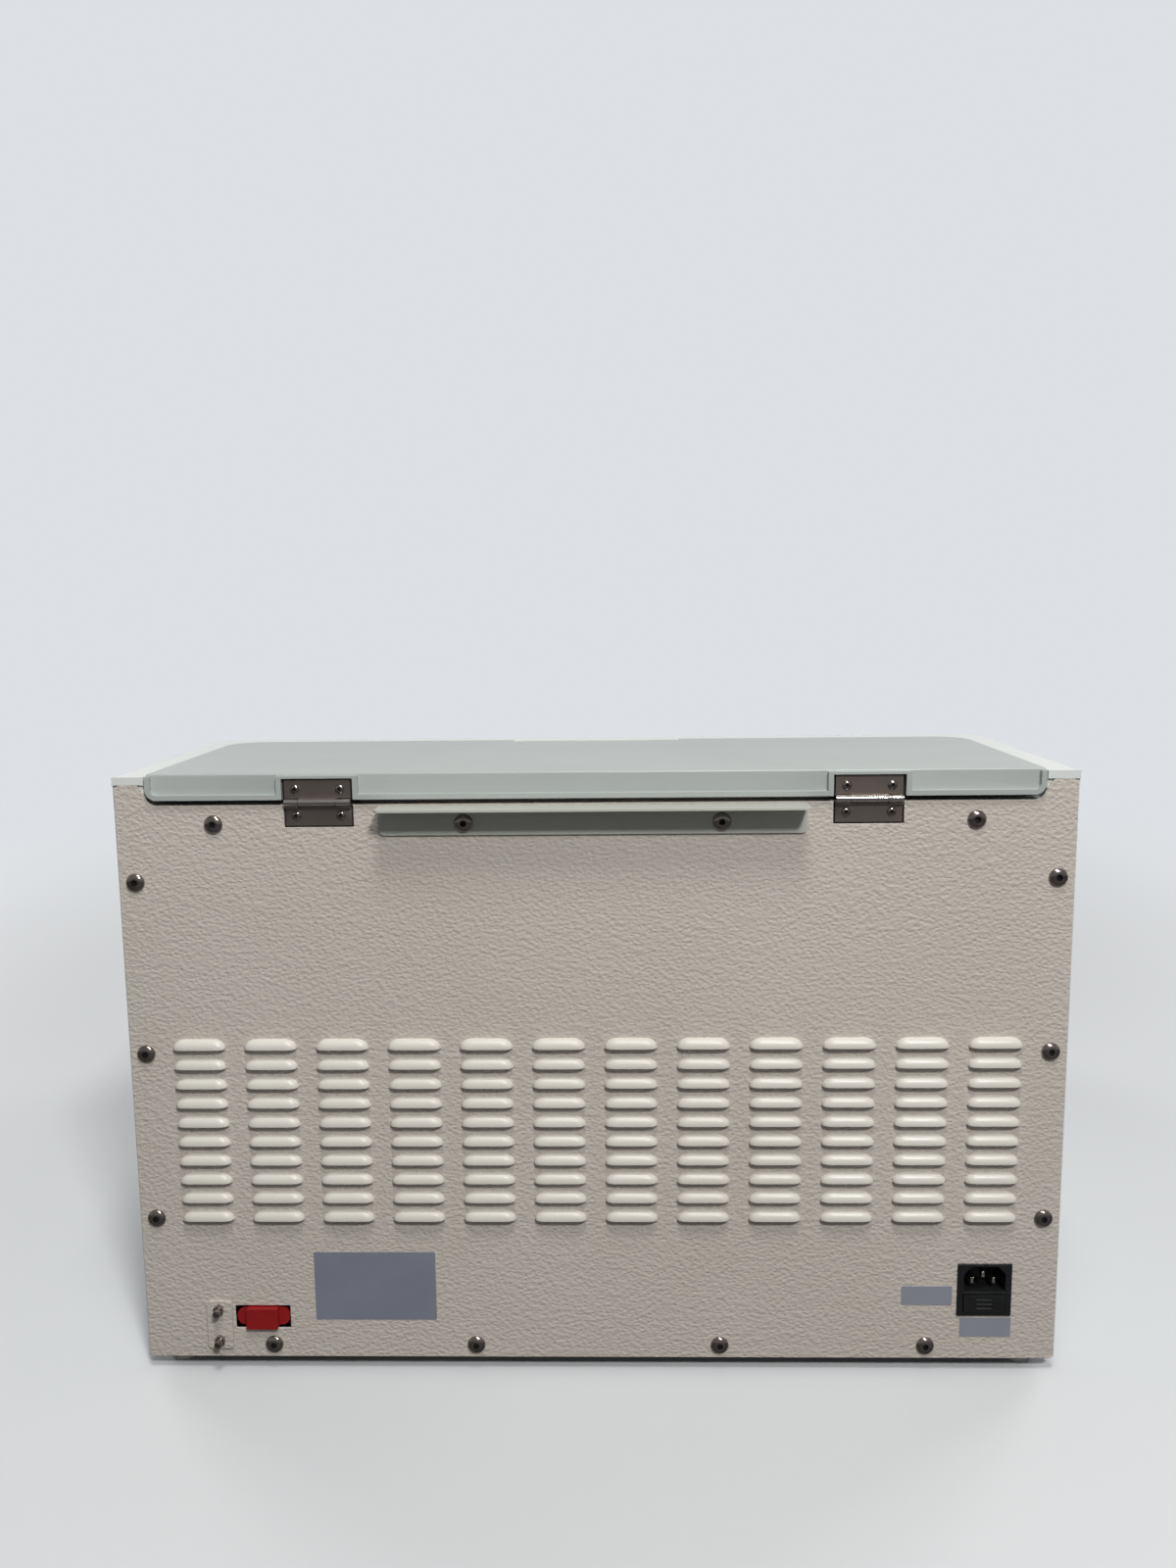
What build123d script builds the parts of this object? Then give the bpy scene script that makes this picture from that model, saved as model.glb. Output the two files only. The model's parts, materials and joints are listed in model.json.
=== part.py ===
from build123d import *
import math
import os

# Tissue embedding station, seen from the front looking along +Y.
# Z is up, z = 0 is the table under the feet, and the rear panel faces +Y.

# Overall sizes, mm
width = 600.0
overall_depth = 650.0
foot_height = 9.0
shell_height = 390.0
upper_depth = 218.0
deck_height = 142.0
stop_reach = 19.0

# Sheet metal and moulded walls
sheet = 1.5
moulding = 3.0
corner_radius = 18.0
front_radius = 38.0

# Rear panel outline and louvres
panel_side_gap = 1.0
panel_ear_height = 385.0
panel_sill_height = 372.0
panel_ear_gap = 3.6
panel_ear_slope = 5.0
panel_ear_round = 7.0
panel_corner = 3.0
louvre_columns = 12
louvre_rows = 10
louvre_side_margin = 45.9
louvre_row_pitch = 12.92
louvre_base_height = 97.7
louvre_length = 33.3
louvre_reach = 4.6
louvre_rise = 6.2
louvre_lip = 1.4
louvre_run = 6.0
louvre_wall = 1.2

# Rear panel screws: button heads
screw_head = 11.8
screw_dome = 2.6
screw_shank = 5.0
screw_length = 9.0
side_screw_inset = 11.3
side_screw_heights = (98.0, 210.4, 323.1)
top_screw_height = 359.9
top_screw_inset = 62.7
bottom_screw_height = 9.0
bottom_screw_shares = (0.134, 0.3585)
hole_clearance = 0.2

# Tank lid and its hinges
lid_proud = 2.0
lid_side_gap = 1.6
lid_depth = 184.0
lid_lift = 3.5
lid_wall = 2.5
lid_corner = 24.0
lid_rear_corner = 7.0
rim_width = 21.6
lip_reach = 3.0
lip_height = 3.2
recess_width = 126.0
recess_depth = 12.0
hinge_inset = 107.6
hinge_width = 41.5
hinge_notch_gap = 1.0
hinge_pad = 4.0
hinge_pocket = 44.4
hinge_pocket_top = 388.8
leaf = 1.2
upper_leaf_top = 388.0
lower_leaf_bottom = 358.7
hinge_axis_height = 373.8
barrel = 4.4
pin = 2.4
pin_clearance = 0.05
end_knuckle = 9.0
knuckle_gap = 0.3
hinge_screw_head = 5.6
hinge_screw_spread = 14.0
hinge_screw_size = 2.6

# Lid stop bracket
stop_hinge_gap = 37.8
stop_bottom = 352.4
stop_top = 371.0
stop_screw_inset = 52.8

# Paraffin tank
frame_plate = 3.0
tank_width = 400.0
tank_depth = 140.0
tank_height = 90.0
tank_wall = 1.5
tank_corner = 20.0
tank_flange = 8.0
tank_gap = 0.5
gasket_margin = 1.0
tank_rear_margin = 20.0
insulation = 12.0
heater_thick = 2.0
mat_corner = 9.0
strainer_size = 50.0
strainer_height = 30.0
strainer_wall = 1.5

# Dispenser head
nose_width = 176.0
nose_depth = 104.0
nose_top_height = 366.0
nose_shoulder = 18.0
nose_front_top = 296.0
nose_bottom = 246.0
nose_edge = 6.0
bezel_width = 150.0
bezel_length = 74.0
bezel_thick = 2.0
display_width = 96.0
display_length = 54.0
display_gap = 0.1
display_recess = 0.3
key_count = 4
key_size = 11.0
key_travel = 1.0
key_proud = 1.2
key_gap = 0.3
key_pitch = 15.0
valve_width = 40.0
valve_depth = 34.0
valve_height = 44.0
valve_setback = 14.0
plunger_size = 8.0
plunger_clearance = 0.1
plunger_travel = 2.0
nozzle_size = 12.0
nozzle_tip = 6.0
nozzle_length = 26.0
nozzle_bore = 3.0
lever_width = 34.0
lever_length = 46.0
lever_thick = 4.0
lever_pin_size = 4.0
knob_size = 24.0
knob_length = 14.0
knob_shaft = 6.0
feed_size = 10.0
feed_wall = 1.5
feed_entry = 14.0
lamp_width = 110.0
lamp_depth = 16.0
lamp_height = 8.0

# Work deck, plate and baths
plate_bath_gap = 22.0
plate_length = 300.0
plate_thick = 5.0
plate_corner = 12.0
plate_rim = 8.0
plate_front_margin = 62.0
drain_length = 200.0
drain_width = 8.0
drain_gap = 12.0
cold_size = 50.0
cold_margin = 24.0
seat_gap = 0.4
bath_width = 138.0
bath_length = 250.0
bath_depth = 62.0
bath_corner = 14.0
bath_side_margin = 91.0
bath_front_margin = 84.0
bath_flange = 6.0
bath_lid_rise = 12.0
bath_lid_wall = 2.5
tab_width = 44.0
tab_reach = 10.0
trunnion = 5.0
trunnion_clearance = 0.05
ear_thick = 5.0
ear_radius = 4.4
well_size = 12.0
well_depth = 42.0
well_floor = 4.0
well_pitch = 20.0
well_block = 24.0
well_offset = 104.0
well_behind_plate = 22.0

# Waste drawers
drawer_side_margin = 54.0
drawer_length = 300.0
drawer_height = 34.0
drawer_wall = 1.5
drawer_front = 3.0
drawer_spacing = 20.0
drawer_bottom = 34.0
drawer_gap = 1.5
handle_width = 90.0
handle_reach = 9.0
runner_height = 12.0
runner_thick = 2.0
runner_gap = 0.3

# Base and feet
tray_height = 20.0
foot_size = 22.0
foot_tip = 18.0
foot_side_inset = 19.0
foot_end_inset = 17.0
foot_stud = 5.0
foot_stud_length = 6.0

# Power inlet, fuses and footswitch socket
inlet_side = 47.6
inlet_bottom = 30.8
inlet_width = 35.0
inlet_height = 35.5
inlet_body_depth = 30.0
inlet_body_gap = 0.2
inlet_flange_thick = 1.2
socket_width = 27.0
socket_height = 17.5
socket_corner = 5.0
socket_depth = 17.0
socket_rise = 16.6
blade_width = 4.0
blade_thick = 2.0
blade_length = 14.0
blade_places = ((-7.0, -3.0), (0.0, 1.0), (7.0, -3.0))
fuse_bottom = 2.4
fuse_width = 27.0
fuse_height = 12.0
fuse_gap = 0.3
fuse_depth = 20.0
fuse_proud = 0.8
fuse_grip = 10.0
fuse_size = 5.2
fuse_length = 15.0
dsub_side = 78.2
dsub_bottom = 20.2
dsub_width = 36.6
dsub_height = 16.2
dsub_depth = 14.0
dsub_rim = 2.6
dsub_step = 2.0
dsub_gap = 0.6
dsub_wall = 3.4
dsub_floor = 2.0
cap_gap = 0.9
cap_lug_height = 12.4
cap_lug_round = 5.4
cap_flange = 2.0
cap_grip = 21.0
cap_grip_round = 1.2
cap_proud = 3.4
cap_plug = 5.0
cap_plug_gap = 0.5
keeper_side = 49.5
keeper_bottom = 6.2
keeper_width = 17.0
keeper_height = 33.8
keeper_corner = 3.0
keeper_posts = (12.9, 34.6)
post_size = 4.6
post_reach = 7.0
post_nut = 7.0
post_nut_height = 3.0
post_socket = 1.2
post_socket_depth = 2.0

# Mains switch on the side by the rear
switch_y_inset = 62.0
switch_height = 62.0
switch_width = 22.0
switch_rise = 30.0
switch_depth = 18.0
switch_bezel = 2.0
rocker_tilt = 9.0
rocker_pivot = 3.0

# Electronics
supply_size = (120.0, 90.0, 46.0)
board_size = (160.0, 80.0, 1.6)
standoff = 6.0

louvre_column_pitch = (width - 2 * louvre_side_margin) / (louvre_columns - 1)
top_screw_offset = width / 2 - top_screw_inset
bottom_screw_offsets = tuple(width * share for share in bottom_screw_shares)
hinge_offset = width / 2 - rim_width - hinge_inset
stop_half_width = hinge_offset - stop_hinge_gap
stop_screw_offset = stop_half_width - stop_screw_inset
bath_offset = width / 2 - bath_side_margin
plate_width = 2 * (bath_offset - bath_width / 2 - plate_bath_gap)
drawer_width = (width - drawer_side_margin * 2 - drawer_spacing) / 2
drawer_offset = (drawer_width + drawer_spacing) / 2
inlet_x = inlet_side - width / 2
dsub_x = width / 2 - dsub_side
keeper_x = width / 2 - keeper_side
rear_y = overall_depth / 2 - stop_reach
front_y = -overall_depth / 2
floor_z = foot_height
top_z = floor_z + shell_height
deck_z = floor_z + deck_height
sill_z = floor_z + panel_sill_height
frame_bottom = sill_z - frame_plate
upper_front = rear_y - upper_depth
panel_inner = rear_y - sheet
side_inner = width / 2 - sheet
lid_top = top_z + lid_proud
lid_bottom = sill_z + lid_lift
lid_half = width / 2 - rim_width
lid_front = rear_y - lid_depth
axis_y = rear_y + barrel / 2
axis_z = floor_z + hinge_axis_height
tank_y = rear_y - tank_rear_margin - tank_depth / 2
nose_front = upper_front - nose_depth
plate_y = front_y + plate_front_margin + plate_length / 2
bath_y = front_y + bath_front_margin + bath_length / 2
well_y = plate_y + plate_length / 2 + well_behind_plate

os.makedirs("parts", exist_ok=True)


def block(x0, x1, y0, y1, z0, z1):
    return Pos((x0 + x1) / 2, (y0 + y1) / 2, (z0 + z1) / 2) * Box(x1 - x0, y1 - y0, z1 - z0)


def rod(radius, start, direction, length):
    plane = Plane(origin=start, z_dir=direction)
    return plane * extrude(Circle(radius), length)


def prism_x(points, x0, x1):
    """A side profile in Y and Z, carried along X."""
    face = make_face(Polyline(*[(x0, y, z) for y, z in points], close=True))
    return extrude(face, amount=x1 - x0, dir=(1, 0, 0))


def pocket(size_x, size_y, depth, corner, x, y, z):
    """An upright prism with rounded corners, from z up to z + depth."""
    return Pos(x, y, z) * extrude(RectangleRounded(size_x, size_y, corner), depth)


def save(name, shape):
    export_step(shape, os.path.join("parts", name + ".step"))


def group(solids):
    return Compound(children=list(solids))


# Rear panel
def hood_form(length, reach, rise, lip, run):
    """A hooded louvre: lip, bulged crown and slanted ends, open below."""
    crown_mid = (reach * 0.66, lip + (rise - lip) * 0.56)
    side = Line((reach, 0), (reach, lip)) + ThreePointArc((reach, lip), crown_mid, (0, rise))
    side = side + Polyline((0, rise), (0, 0), (reach, 0))
    bar = extrude(make_face(Plane.YZ * side), length / 2, both=True)
    for end in (1, -1):
        corner = Vector(end * length / 2, 0, 0)
        low = Vector(end * (length / 2 - run), reach, 0) - corner
        high = Vector(end * (length / 2 - run), 0, rise) - corner
        normal = low.cross(high) * end
        if normal.X * end < 0:
            normal = -normal
        bar = split(bar, bisect_by=Plane(origin=corner, z_dir=normal), keep=Keep.BOTTOM)
    return bar


def louvre_places():
    places = []
    for column in range(louvre_columns):
        for row in range(louvre_rows):
            x = (column - (louvre_columns - 1) / 2) * louvre_column_pitch
            z = floor_z + louvre_base_height + row * louvre_row_pitch
            places.append(Pos(x, rear_y, z))
    return places


def panel_screw_places():
    places = []
    for side in (1, -1):
        places += [(side * (width / 2 - side_screw_inset), h) for h in side_screw_heights]
        places.append((side * top_screw_offset, top_screw_height))
        places += [(side * x, bottom_screw_height) for x in bottom_screw_offsets]
    return places


def rear_panel():
    half = width / 2 - panel_side_gap
    wide = lid_half + panel_ear_gap
    narrow = wide - panel_ear_slope
    top = floor_z + panel_ear_height
    sheet_form = block(-half, half, panel_inner, rear_y, floor_z, top)
    cut = Polyline((-narrow, sill_z), (narrow, sill_z), (wide, top), (wide, 2 * top), (-wide, 2 * top),
                   (-wide, top), close=True)
    notch = Pos(0, panel_inner - 1, 0) * extrude(make_face(Plane.XZ * cut), 4 * sheet, dir=(0, 1, 0))
    sheet_form -= fillet(notch.edges().filter_by(Axis.Y).group_by(Axis.Z)[0], panel_ear_round)
    tips = sheet_form.edges().filter_by(Axis.Y).group_by(Axis.Z)[-1]
    sheet_form = fillet(tips, panel_ear_round * 0.6)
    feet = sheet_form.edges().filter_by(Axis.Y).group_by(Axis.Z)[0]
    sheet_form = fillet(feet, panel_corner)
    hood = hood_form(louvre_length, louvre_reach, louvre_rise, louvre_lip, louvre_run)
    gap = hood_form(
        louvre_length - 2 * louvre_wall,
        louvre_reach - louvre_wall,
        louvre_rise - louvre_wall,
        louvre_lip - louvre_wall / 2,
        louvre_run,
    )
    through = extrude(gap.faces().filter_by(Axis.Y).sort_by(Axis.Y)[0], sheet + 1, dir=(0, -1, 0))
    opening = gap + through
    places = louvre_places()
    sheet_form = sheet_form + [place * hood for place in places]
    sheet_form = sheet_form - [place * opening for place in places]
    holes = []
    for x, h in panel_screw_places() + [(s * stop_screw_offset, top_screw_height) for s in (1, -1)]:
        holes.append(rod(screw_shank / 2 + hole_clearance, (x, rear_y + 1, floor_z + h), (0, -1, 0),
                         sheet + 2))
    for side in (1, -1):
        x = side * hinge_offset
        half = hinge_width / 2 + hinge_notch_gap
        holes.append(block(x - half, x + half, panel_inner - 1, rear_y + 1,
                           floor_z + lower_leaf_bottom - hinge_notch_gap, top))
    z = floor_z + inlet_bottom
    holes.append(block(inlet_x - inlet_width / 2, inlet_x + inlet_width / 2, panel_inner - 1, rear_y + 1,
                       z, z + inlet_height))
    z = floor_z + dsub_bottom
    holes.append(block(dsub_x - dsub_width / 2, dsub_x + dsub_width / 2, panel_inner - 1, rear_y + 1,
                       z, z + dsub_height))
    return sheet_form - holes


def lower_screw_z():
    return floor_z + (lower_leaf_bottom + hinge_axis_height - barrel / 2) / 2


def upper_screw_z():
    return floor_z + (upper_leaf_top + hinge_axis_height + barrel / 2) / 2


def button_screw(x, z, y):
    """A button head with a hex socket, its underside at y."""
    radius = screw_head / 2
    profile = Line((0, 0), (radius, 0)) + Line((radius, 0), (radius, screw_dome * 0.25))
    profile += ThreePointArc((radius, screw_dome * 0.25), (radius * 0.62, screw_dome * 0.83), (0, screw_dome))
    profile += Line((0, screw_dome), (0, 0))
    head = revolve(make_face(Plane.XZ * profile), Axis.Z)
    head -= Pos(0, 0, screw_dome * 0.35) * extrude(RegularPolygon(screw_shank * 0.42, 6), screw_dome)
    head += Pos(0, 0, -screw_length) * extrude(Circle(screw_shank / 2), screw_length)
    return Plane(origin=(x, y, z), z_dir=(0, 1, 0)) * head


def small_screw(x, z, y, grip):
    """A flat pan screw of a hinge leaf, its underside at y."""
    head = rod(hinge_screw_head / 2, (x, y, z), (0, 1, 0), hinge_screw_size / 2)
    recess = Plane(origin=(x, y + 0.5, z), z_dir=(0, 1, 0)) * extrude(RegularPolygon(1.2, 6), 2)
    return head - recess + rod(hinge_screw_size / 2, (x, y, z), (0, -1, 0), grip)


# Outer shells
def side_outline(x0, x1, rear):
    """The lower body seen from the side, with its rounded front edge."""
    body = block(x0, x1, front_y, rear, floor_z, deck_z)
    edge = body.edges().filter_by(Axis.X).group_by(Axis.Y)[0].sort_by(Axis.Z)[-1]
    return fillet(edge, front_radius)


def side_panel(side):
    x0, x1 = sorted((side * side_inner, side * width / 2))
    panel = side_outline(x0, x1, panel_inner)
    if side < 0:
        panel -= switch_hole()
    return panel


def deck_cover():
    body = side_outline(-side_inner, side_inner, panel_inner)
    core = block(-width, width, front_y + sheet, width, 0, deck_z - sheet)
    edge = core.edges().filter_by(Axis.X).group_by(Axis.Y)[0].sort_by(Axis.Z)[-1]
    cover = body - fillet(edge, front_radius - sheet)
    cover -= block(-width, width, upper_front + corner_radius + moulding, width, deck_z - 2 * sheet,
                   deck_z + 1)
    cover -= plate_recess()
    for side in (1, -1):
        cover -= pocket(
            bath_width + 2 * seat_gap, bath_length + 2 * seat_gap, 4 * sheet, bath_corner + seat_gap,
            side * bath_offset, bath_y, deck_z - 3 * sheet,
        )
        cover -= well_block_form(side, seat_gap, deck_z - 3 * sheet, deck_z + 1)
        x = side * drawer_offset
        half = drawer_width / 2 + drawer_gap
        z = floor_z + drawer_bottom
        cover -= block(x - half, x + half, front_y - 1, front_y + 3 * sheet, z - drawer_gap,
                       z + drawer_height + drawer_gap)
    return cover


def upper_outline(height0, height1, inset):
    """The upper housing's plan, with its two rounded front corners."""
    body = block(-width / 2 + inset, width / 2 - inset, upper_front + inset, panel_inner, height0, height1)
    corners = body.edges().filter_by(Axis.Z).group_by(Axis.Y)[0]
    return fillet(corners, corner_radius - inset)


def upper_shell():
    shell = upper_outline(deck_z, frame_bottom, 0)
    shell -= block(-side_inner, side_inner, upper_front + 2 * corner_radius, rear_y, 0, top_z)
    shell -= upper_outline(deck_z - 1, frame_bottom + 1, sheet)
    inner = nose_width / 2 - 3 * moulding
    shell -= block(-inner, inner, upper_front - 1, upper_front + 2 * sheet,
                   floor_z + nose_bottom + 3 * moulding,
                   floor_z + nose_top_height - 3 * moulding)
    return shell


def top_frame():
    frame = upper_outline(frame_bottom, top_z, 0)
    top_edges = frame.edges().group_by(Axis.Z)[-1].sort_by(Axis.Y)[:-1]
    frame = fillet(top_edges, moulding * 0.8)
    half = lid_half + lid_side_gap
    bay = block(-half, half, lid_front - lid_side_gap, rear_y + 1, sill_z, top_z + 1)
    bay_corners = bay.edges().filter_by(Axis.Z).group_by(Axis.Y)[0]
    frame -= fillet(bay_corners, lid_corner)
    gutter = upper_outline(frame_bottom - 1, top_z - moulding, moulding)
    gutter -= block(-half - moulding, half + moulding, lid_front - lid_side_gap - moulding, rear_y, 0, top_z)
    frame -= gutter
    frame -= pocket(
        tank_width + 2 * tank_gap, tank_depth + 2 * tank_gap, 3 * frame_plate, tank_corner + tank_gap,
        0, tank_y, frame_bottom - frame_plate,
    )
    for side in (1, -1):
        x0, x1 = sorted((side * half, side * (width / 2)))
        frame += block(x0, x1, panel_inner, rear_y, floor_z + panel_ear_height, top_z)
        frame += hinge_seat(side * hinge_offset)
    scoop = pocket(recess_width, 2 * recess_depth, 2 * lid_lift, recess_depth * 0.6, 0, lid_front,
                   top_z - lid_lift)
    return frame - scoop


def hinge_seat(x):
    """A tongue behind the rear panel that a lower hinge leaf is screwed to."""
    half = hinge_width / 2 + hinge_pad
    seat = block(x - half, x + half, panel_inner - moulding, panel_inner,
                 floor_z + lower_leaf_bottom - hinge_pad,
                 frame_bottom + moulding)
    for dx in (-hinge_screw_spread, hinge_screw_spread):
        seat -= rod(hinge_screw_size / 2, (x + dx, rear_y, lower_screw_z()), (0, -1, 0), 2 * sheet + moulding)
    return seat


# Lid, hinges and stop
def tank_lid():
    body = block(-lid_half, lid_half, lid_front, rear_y, lid_bottom, lid_top)
    body = fillet(body.edges().filter_by(Axis.Z).group_by(Axis.Y)[0], lid_corner)
    rear_low = body.edges().filter_by(Axis.Y).group_by(Axis.Z)[0]
    body = fillet(rear_low, lid_rear_corner)
    rim = body.edges().group_by(Axis.Z)[-1]
    body = fillet(rim, lid_wall * 0.6)
    inner = block(-lid_half + lid_wall, lid_half - lid_wall, lid_front + lid_wall, rear_y - lid_wall,
                  lid_bottom - 1, lid_top - lid_wall)
    body -= fillet(inner.edges().filter_by(Axis.Z).group_by(Axis.Y)[0], lid_corner - lid_wall)
    notch = pocket(recess_width, 2 * recess_depth, 2 * (lid_top - lid_bottom), recess_depth * 0.5,
                   0, lid_front, lid_bottom - 1)
    wall = pocket(recess_width + 2 * lid_wall, 2 * (recess_depth + lid_wall),
                  lid_top - lid_wall / 2 - lid_bottom,
                  recess_depth * 0.5 + lid_wall, 0, lid_front, lid_bottom)
    wall -= block(-width, width, front_y, lid_front + lid_wall / 2, 0, 2 * top_z)
    body = body + wall - notch
    reach = rear_y + lip_reach
    lip = block(-lid_half, lid_half, rear_y, reach, lid_bottom, lid_top - lip_height / 2)
    lip = fillet(lip.edges().filter_by(Axis.Y).group_by(Axis.Z)[0], lid_rear_corner)
    field = block(-lid_half + lip_height, lid_half - lip_height, rear_y, reach, lid_bottom + lip_height,
                  2 * top_z)
    lip -= fillet(field.edges().filter_by(Axis.Y).group_by(Axis.Z)[0], lid_rear_corner - lip_height)
    body += lip
    pocket_top = floor_z + hinge_pocket_top
    for side in (1, -1):
        x = side * hinge_offset
        half = hinge_pocket / 2
        body += block(x - half - lip_height, x + half + lip_height, rear_y, reach, lid_bottom,
                      lid_top - lip_height / 2)
        body -= block(x - half, x + half, rear_y, reach + 1, lid_bottom - 1, pocket_top)
        for dx in (-hinge_screw_spread, hinge_screw_spread):
            body -= rod(hinge_screw_size / 2 + hole_clearance, (x + dx, rear_y + 1, upper_screw_z()),
                        (0, -1, 0), lid_wall + 2)
    return body


def lid_gasket():
    """A tall seal that hangs in the lid and closes on the tank's flange."""
    z0 = sill_z + tank_wall + hole_clearance
    reach = tank_flange - gasket_margin
    outer = pocket(tank_width + 2 * reach, tank_depth + 2 * reach, lid_top - lid_wall - z0,
                   tank_corner + reach, 0, tank_y, z0)
    inner = pocket(tank_width + 2 * gasket_margin, tank_depth + 2 * gasket_margin, lid_top,
                   tank_corner + gasket_margin, 0, tank_y, z0 - 1)
    return outer - inner


def hinge_leaf(x, upper):
    """One leaf with its knuckles; the upper leaf has the long middle one."""
    half = hinge_width / 2
    turn = barrel / 2
    inner_half = half - end_knuckle
    if upper:
        plate = block(x - half, x + half, rear_y, rear_y + leaf, axis_z + turn + knuckle_gap,
                      floor_z + upper_leaf_top)
        plate += block(x - inner_half, x + inner_half, rear_y, rear_y + leaf, axis_z, axis_z + turn + 1)
        spans = [(x - inner_half, x + inner_half)]
        bore = pin / 2 + pin_clearance
        screw_z = upper_screw_z()
    else:
        root = axis_z - turn - knuckle_gap
        plate = block(x - half, x + half, panel_inner, panel_inner + leaf, floor_z + lower_leaf_bottom, root)
        spans = [(x - half, x - inner_half - knuckle_gap), (x + inner_half + knuckle_gap, x + half)]
        for x0, x1 in spans:
            plate += block(x0, x1, panel_inner, axis_y, root - leaf, root)
            plate += block(x0, x1, rear_y, axis_y, root - leaf, axis_z)
        bore = pin / 2
        screw_z = lower_screw_z()
    for x0, x1 in spans:
        plate += rod(turn, (x0, axis_y, axis_z), (1, 0, 0), x1 - x0)
    plate -= rod(bore, (x - width, axis_y, axis_z), (1, 0, 0), 2 * width)
    for dx in (-hinge_screw_spread, hinge_screw_spread):
        plate -= rod(hinge_screw_size / 2 + hole_clearance, (x + dx, rear_y + 2 * leaf, screw_z),
                     (0, -1, 0), 4 * leaf)
    return plate


def lid_stop():
    z0 = floor_z + stop_bottom
    z1 = floor_z + stop_top
    body = block(-stop_half_width, stop_half_width, rear_y, rear_y + stop_reach, z0, z1)
    body -= block(-width, width, rear_y + sheet, rear_y + 2 * stop_reach, z0 - 1, z1 - sheet)
    low = body.edges().filter_by(Axis.Y).group_by(Axis.Z)[0]
    body = fillet(low, moulding)
    far = body.edges().filter_by(Axis.Z).group_by(Axis.Y)[-1]
    body = fillet(far, moulding)
    for side in (1, -1):
        body -= rod(screw_shank / 2 + hole_clearance,
                    (side * stop_screw_offset, rear_y + 3, floor_z + top_screw_height),
                    (0, -1, 0), 6)
    return body


# Paraffin tank
def open_tub(size_x, size_y, depth, corner, wall, flange, x, y, top):
    """A deep-drawn tub that hangs from its flange, whose underside is at top."""
    tub = pocket(size_x, size_y, depth, corner, x, y, top - depth)
    tub += pocket(size_x + 2 * flange, size_y + 2 * flange, wall, corner + flange, x, y, top)
    hollow = pocket(size_x - 2 * wall, size_y - 2 * wall, 2 * depth, corner - wall, x, y, top - depth + wall)
    hollow = fillet(hollow.edges().group_by(Axis.Z)[0], corner * 0.4)
    return tub - hollow


def paraffin_tank():
    tub = open_tub(tank_width, tank_depth, tank_height, tank_corner, tank_wall, tank_flange, 0, tank_y,
                   sill_z)
    outlet = rod(feed_size / 2 - feed_wall, (0, outlet_y(), sill_z), (0, 0, -1), tank_height + 1)
    return tub - outlet


def outlet_y():
    return tank_y - tank_depth / 2 + strainer_size / 2 + tank_corner


def tank_insulation():
    top = frame_bottom
    bottom = sill_z - tank_height - heater_thick - insulation
    outer = pocket(tank_width + 2 * insulation, tank_depth + 2 * insulation, top - bottom,
                   tank_corner + insulation, 0, tank_y, bottom)
    outer -= pocket(tank_width + 2 * tank_gap, tank_depth + 2 * tank_gap, top, tank_corner + tank_gap,
                    0, tank_y, bottom + insulation)
    return outer - rod(feed_size / 2 + tank_gap, (0, outlet_y(), bottom - 1), (0, 0, 1), 2 * insulation)


def tank_heater():
    mat = pocket(tank_width - 4 * tank_corner, tank_depth - 2 * tank_corner, heater_thick, tank_corner,
                 0, tank_y, sill_z - tank_height - heater_thick)
    return mat - rod(feed_size / 2 + tank_gap, (0, outlet_y(), 0), (0, 0, 1), top_z)


def tank_strainer():
    """A perforated cup that stands over the outlet."""
    floor = sill_z - tank_height + tank_wall
    cup = pocket(strainer_size, strainer_size, strainer_height, strainer_wall * 2, 0, outlet_y(), floor)
    cup -= pocket(strainer_size - 2 * strainer_wall, strainer_size - 2 * strainer_wall, strainer_height,
                  strainer_wall, 0, outlet_y(), floor - strainer_wall)
    slot = strainer_size * 0.6
    for row in range(4):
        z = floor + strainer_height * (0.18 + 0.18 * row)
        cup -= block(-slot / 2, slot / 2, outlet_y() - width, outlet_y() + width, z, z + strainer_wall)
    return cup


# Dispenser head
slope_run = nose_depth - nose_shoulder
slope_drop = nose_top_height - nose_front_top
slope_angle = math.degrees(math.atan2(slope_drop, slope_run))
slope_mid_y = nose_front + slope_run / 2
slope_mid_z = floor_z + (nose_top_height + nose_front_top) / 2


def slope_plane(lift):
    """The control face: x across, y up the slope, z out of it."""
    tilt = math.radians(slope_angle)
    normal = Vector(0, -math.sin(tilt), math.cos(tilt))
    origin = Vector(0, slope_mid_y, slope_mid_z) + normal * lift
    return Plane(origin=origin, x_dir=(1, 0, 0), z_dir=normal)


def nose_form(inset):
    rear = upper_front
    top = floor_z + nose_top_height - inset
    low = floor_z + nose_bottom + (inset if inset else 0)
    front = nose_front + inset
    knee = floor_z + nose_front_top - inset * 0.4
    shoulder = upper_front - nose_shoulder - inset * 0.4
    points = [(rear, low), (rear, top), (shoulder, top), (front, knee), (front, low)]
    return prism_x(points, -nose_width / 2 + inset, nose_width / 2 - inset)


def nose_housing():
    body = nose_form(0)
    body = fillet(body.edges().filter_by(Axis.Z).group_by(Axis.Y)[0], nose_edge)
    body -= nose_form(moulding) + block(-nose_width / 2 + moulding, nose_width / 2 - moulding,
                                        upper_front - 2 * moulding, upper_front + 1,
                                        floor_z + nose_bottom + moulding,
                                        floor_z + nose_top_height - moulding)
    for place in key_places():
        body -= slope_plane(-3 * moulding) * place * extrude(Circle(key_size / 2 - 1), 6 * moulding)
    x = valve_width / 2 + seat_gap
    y = valve_depth / 2 + seat_gap
    low = floor_z + nose_bottom
    ear = lever_pin_size * 1.6
    body -= block(-x, x, valve_y() - y, valve_y() + y + ear, low - 1, low + 2 * moulding)
    body -= rod(knob_shaft / 2 + hole_clearance, (0, valve_y(), knob_z()), (1, 0, 0), nose_width)
    return body


def valve_y():
    return nose_front + moulding + valve_depth / 2 + valve_setback


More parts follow.
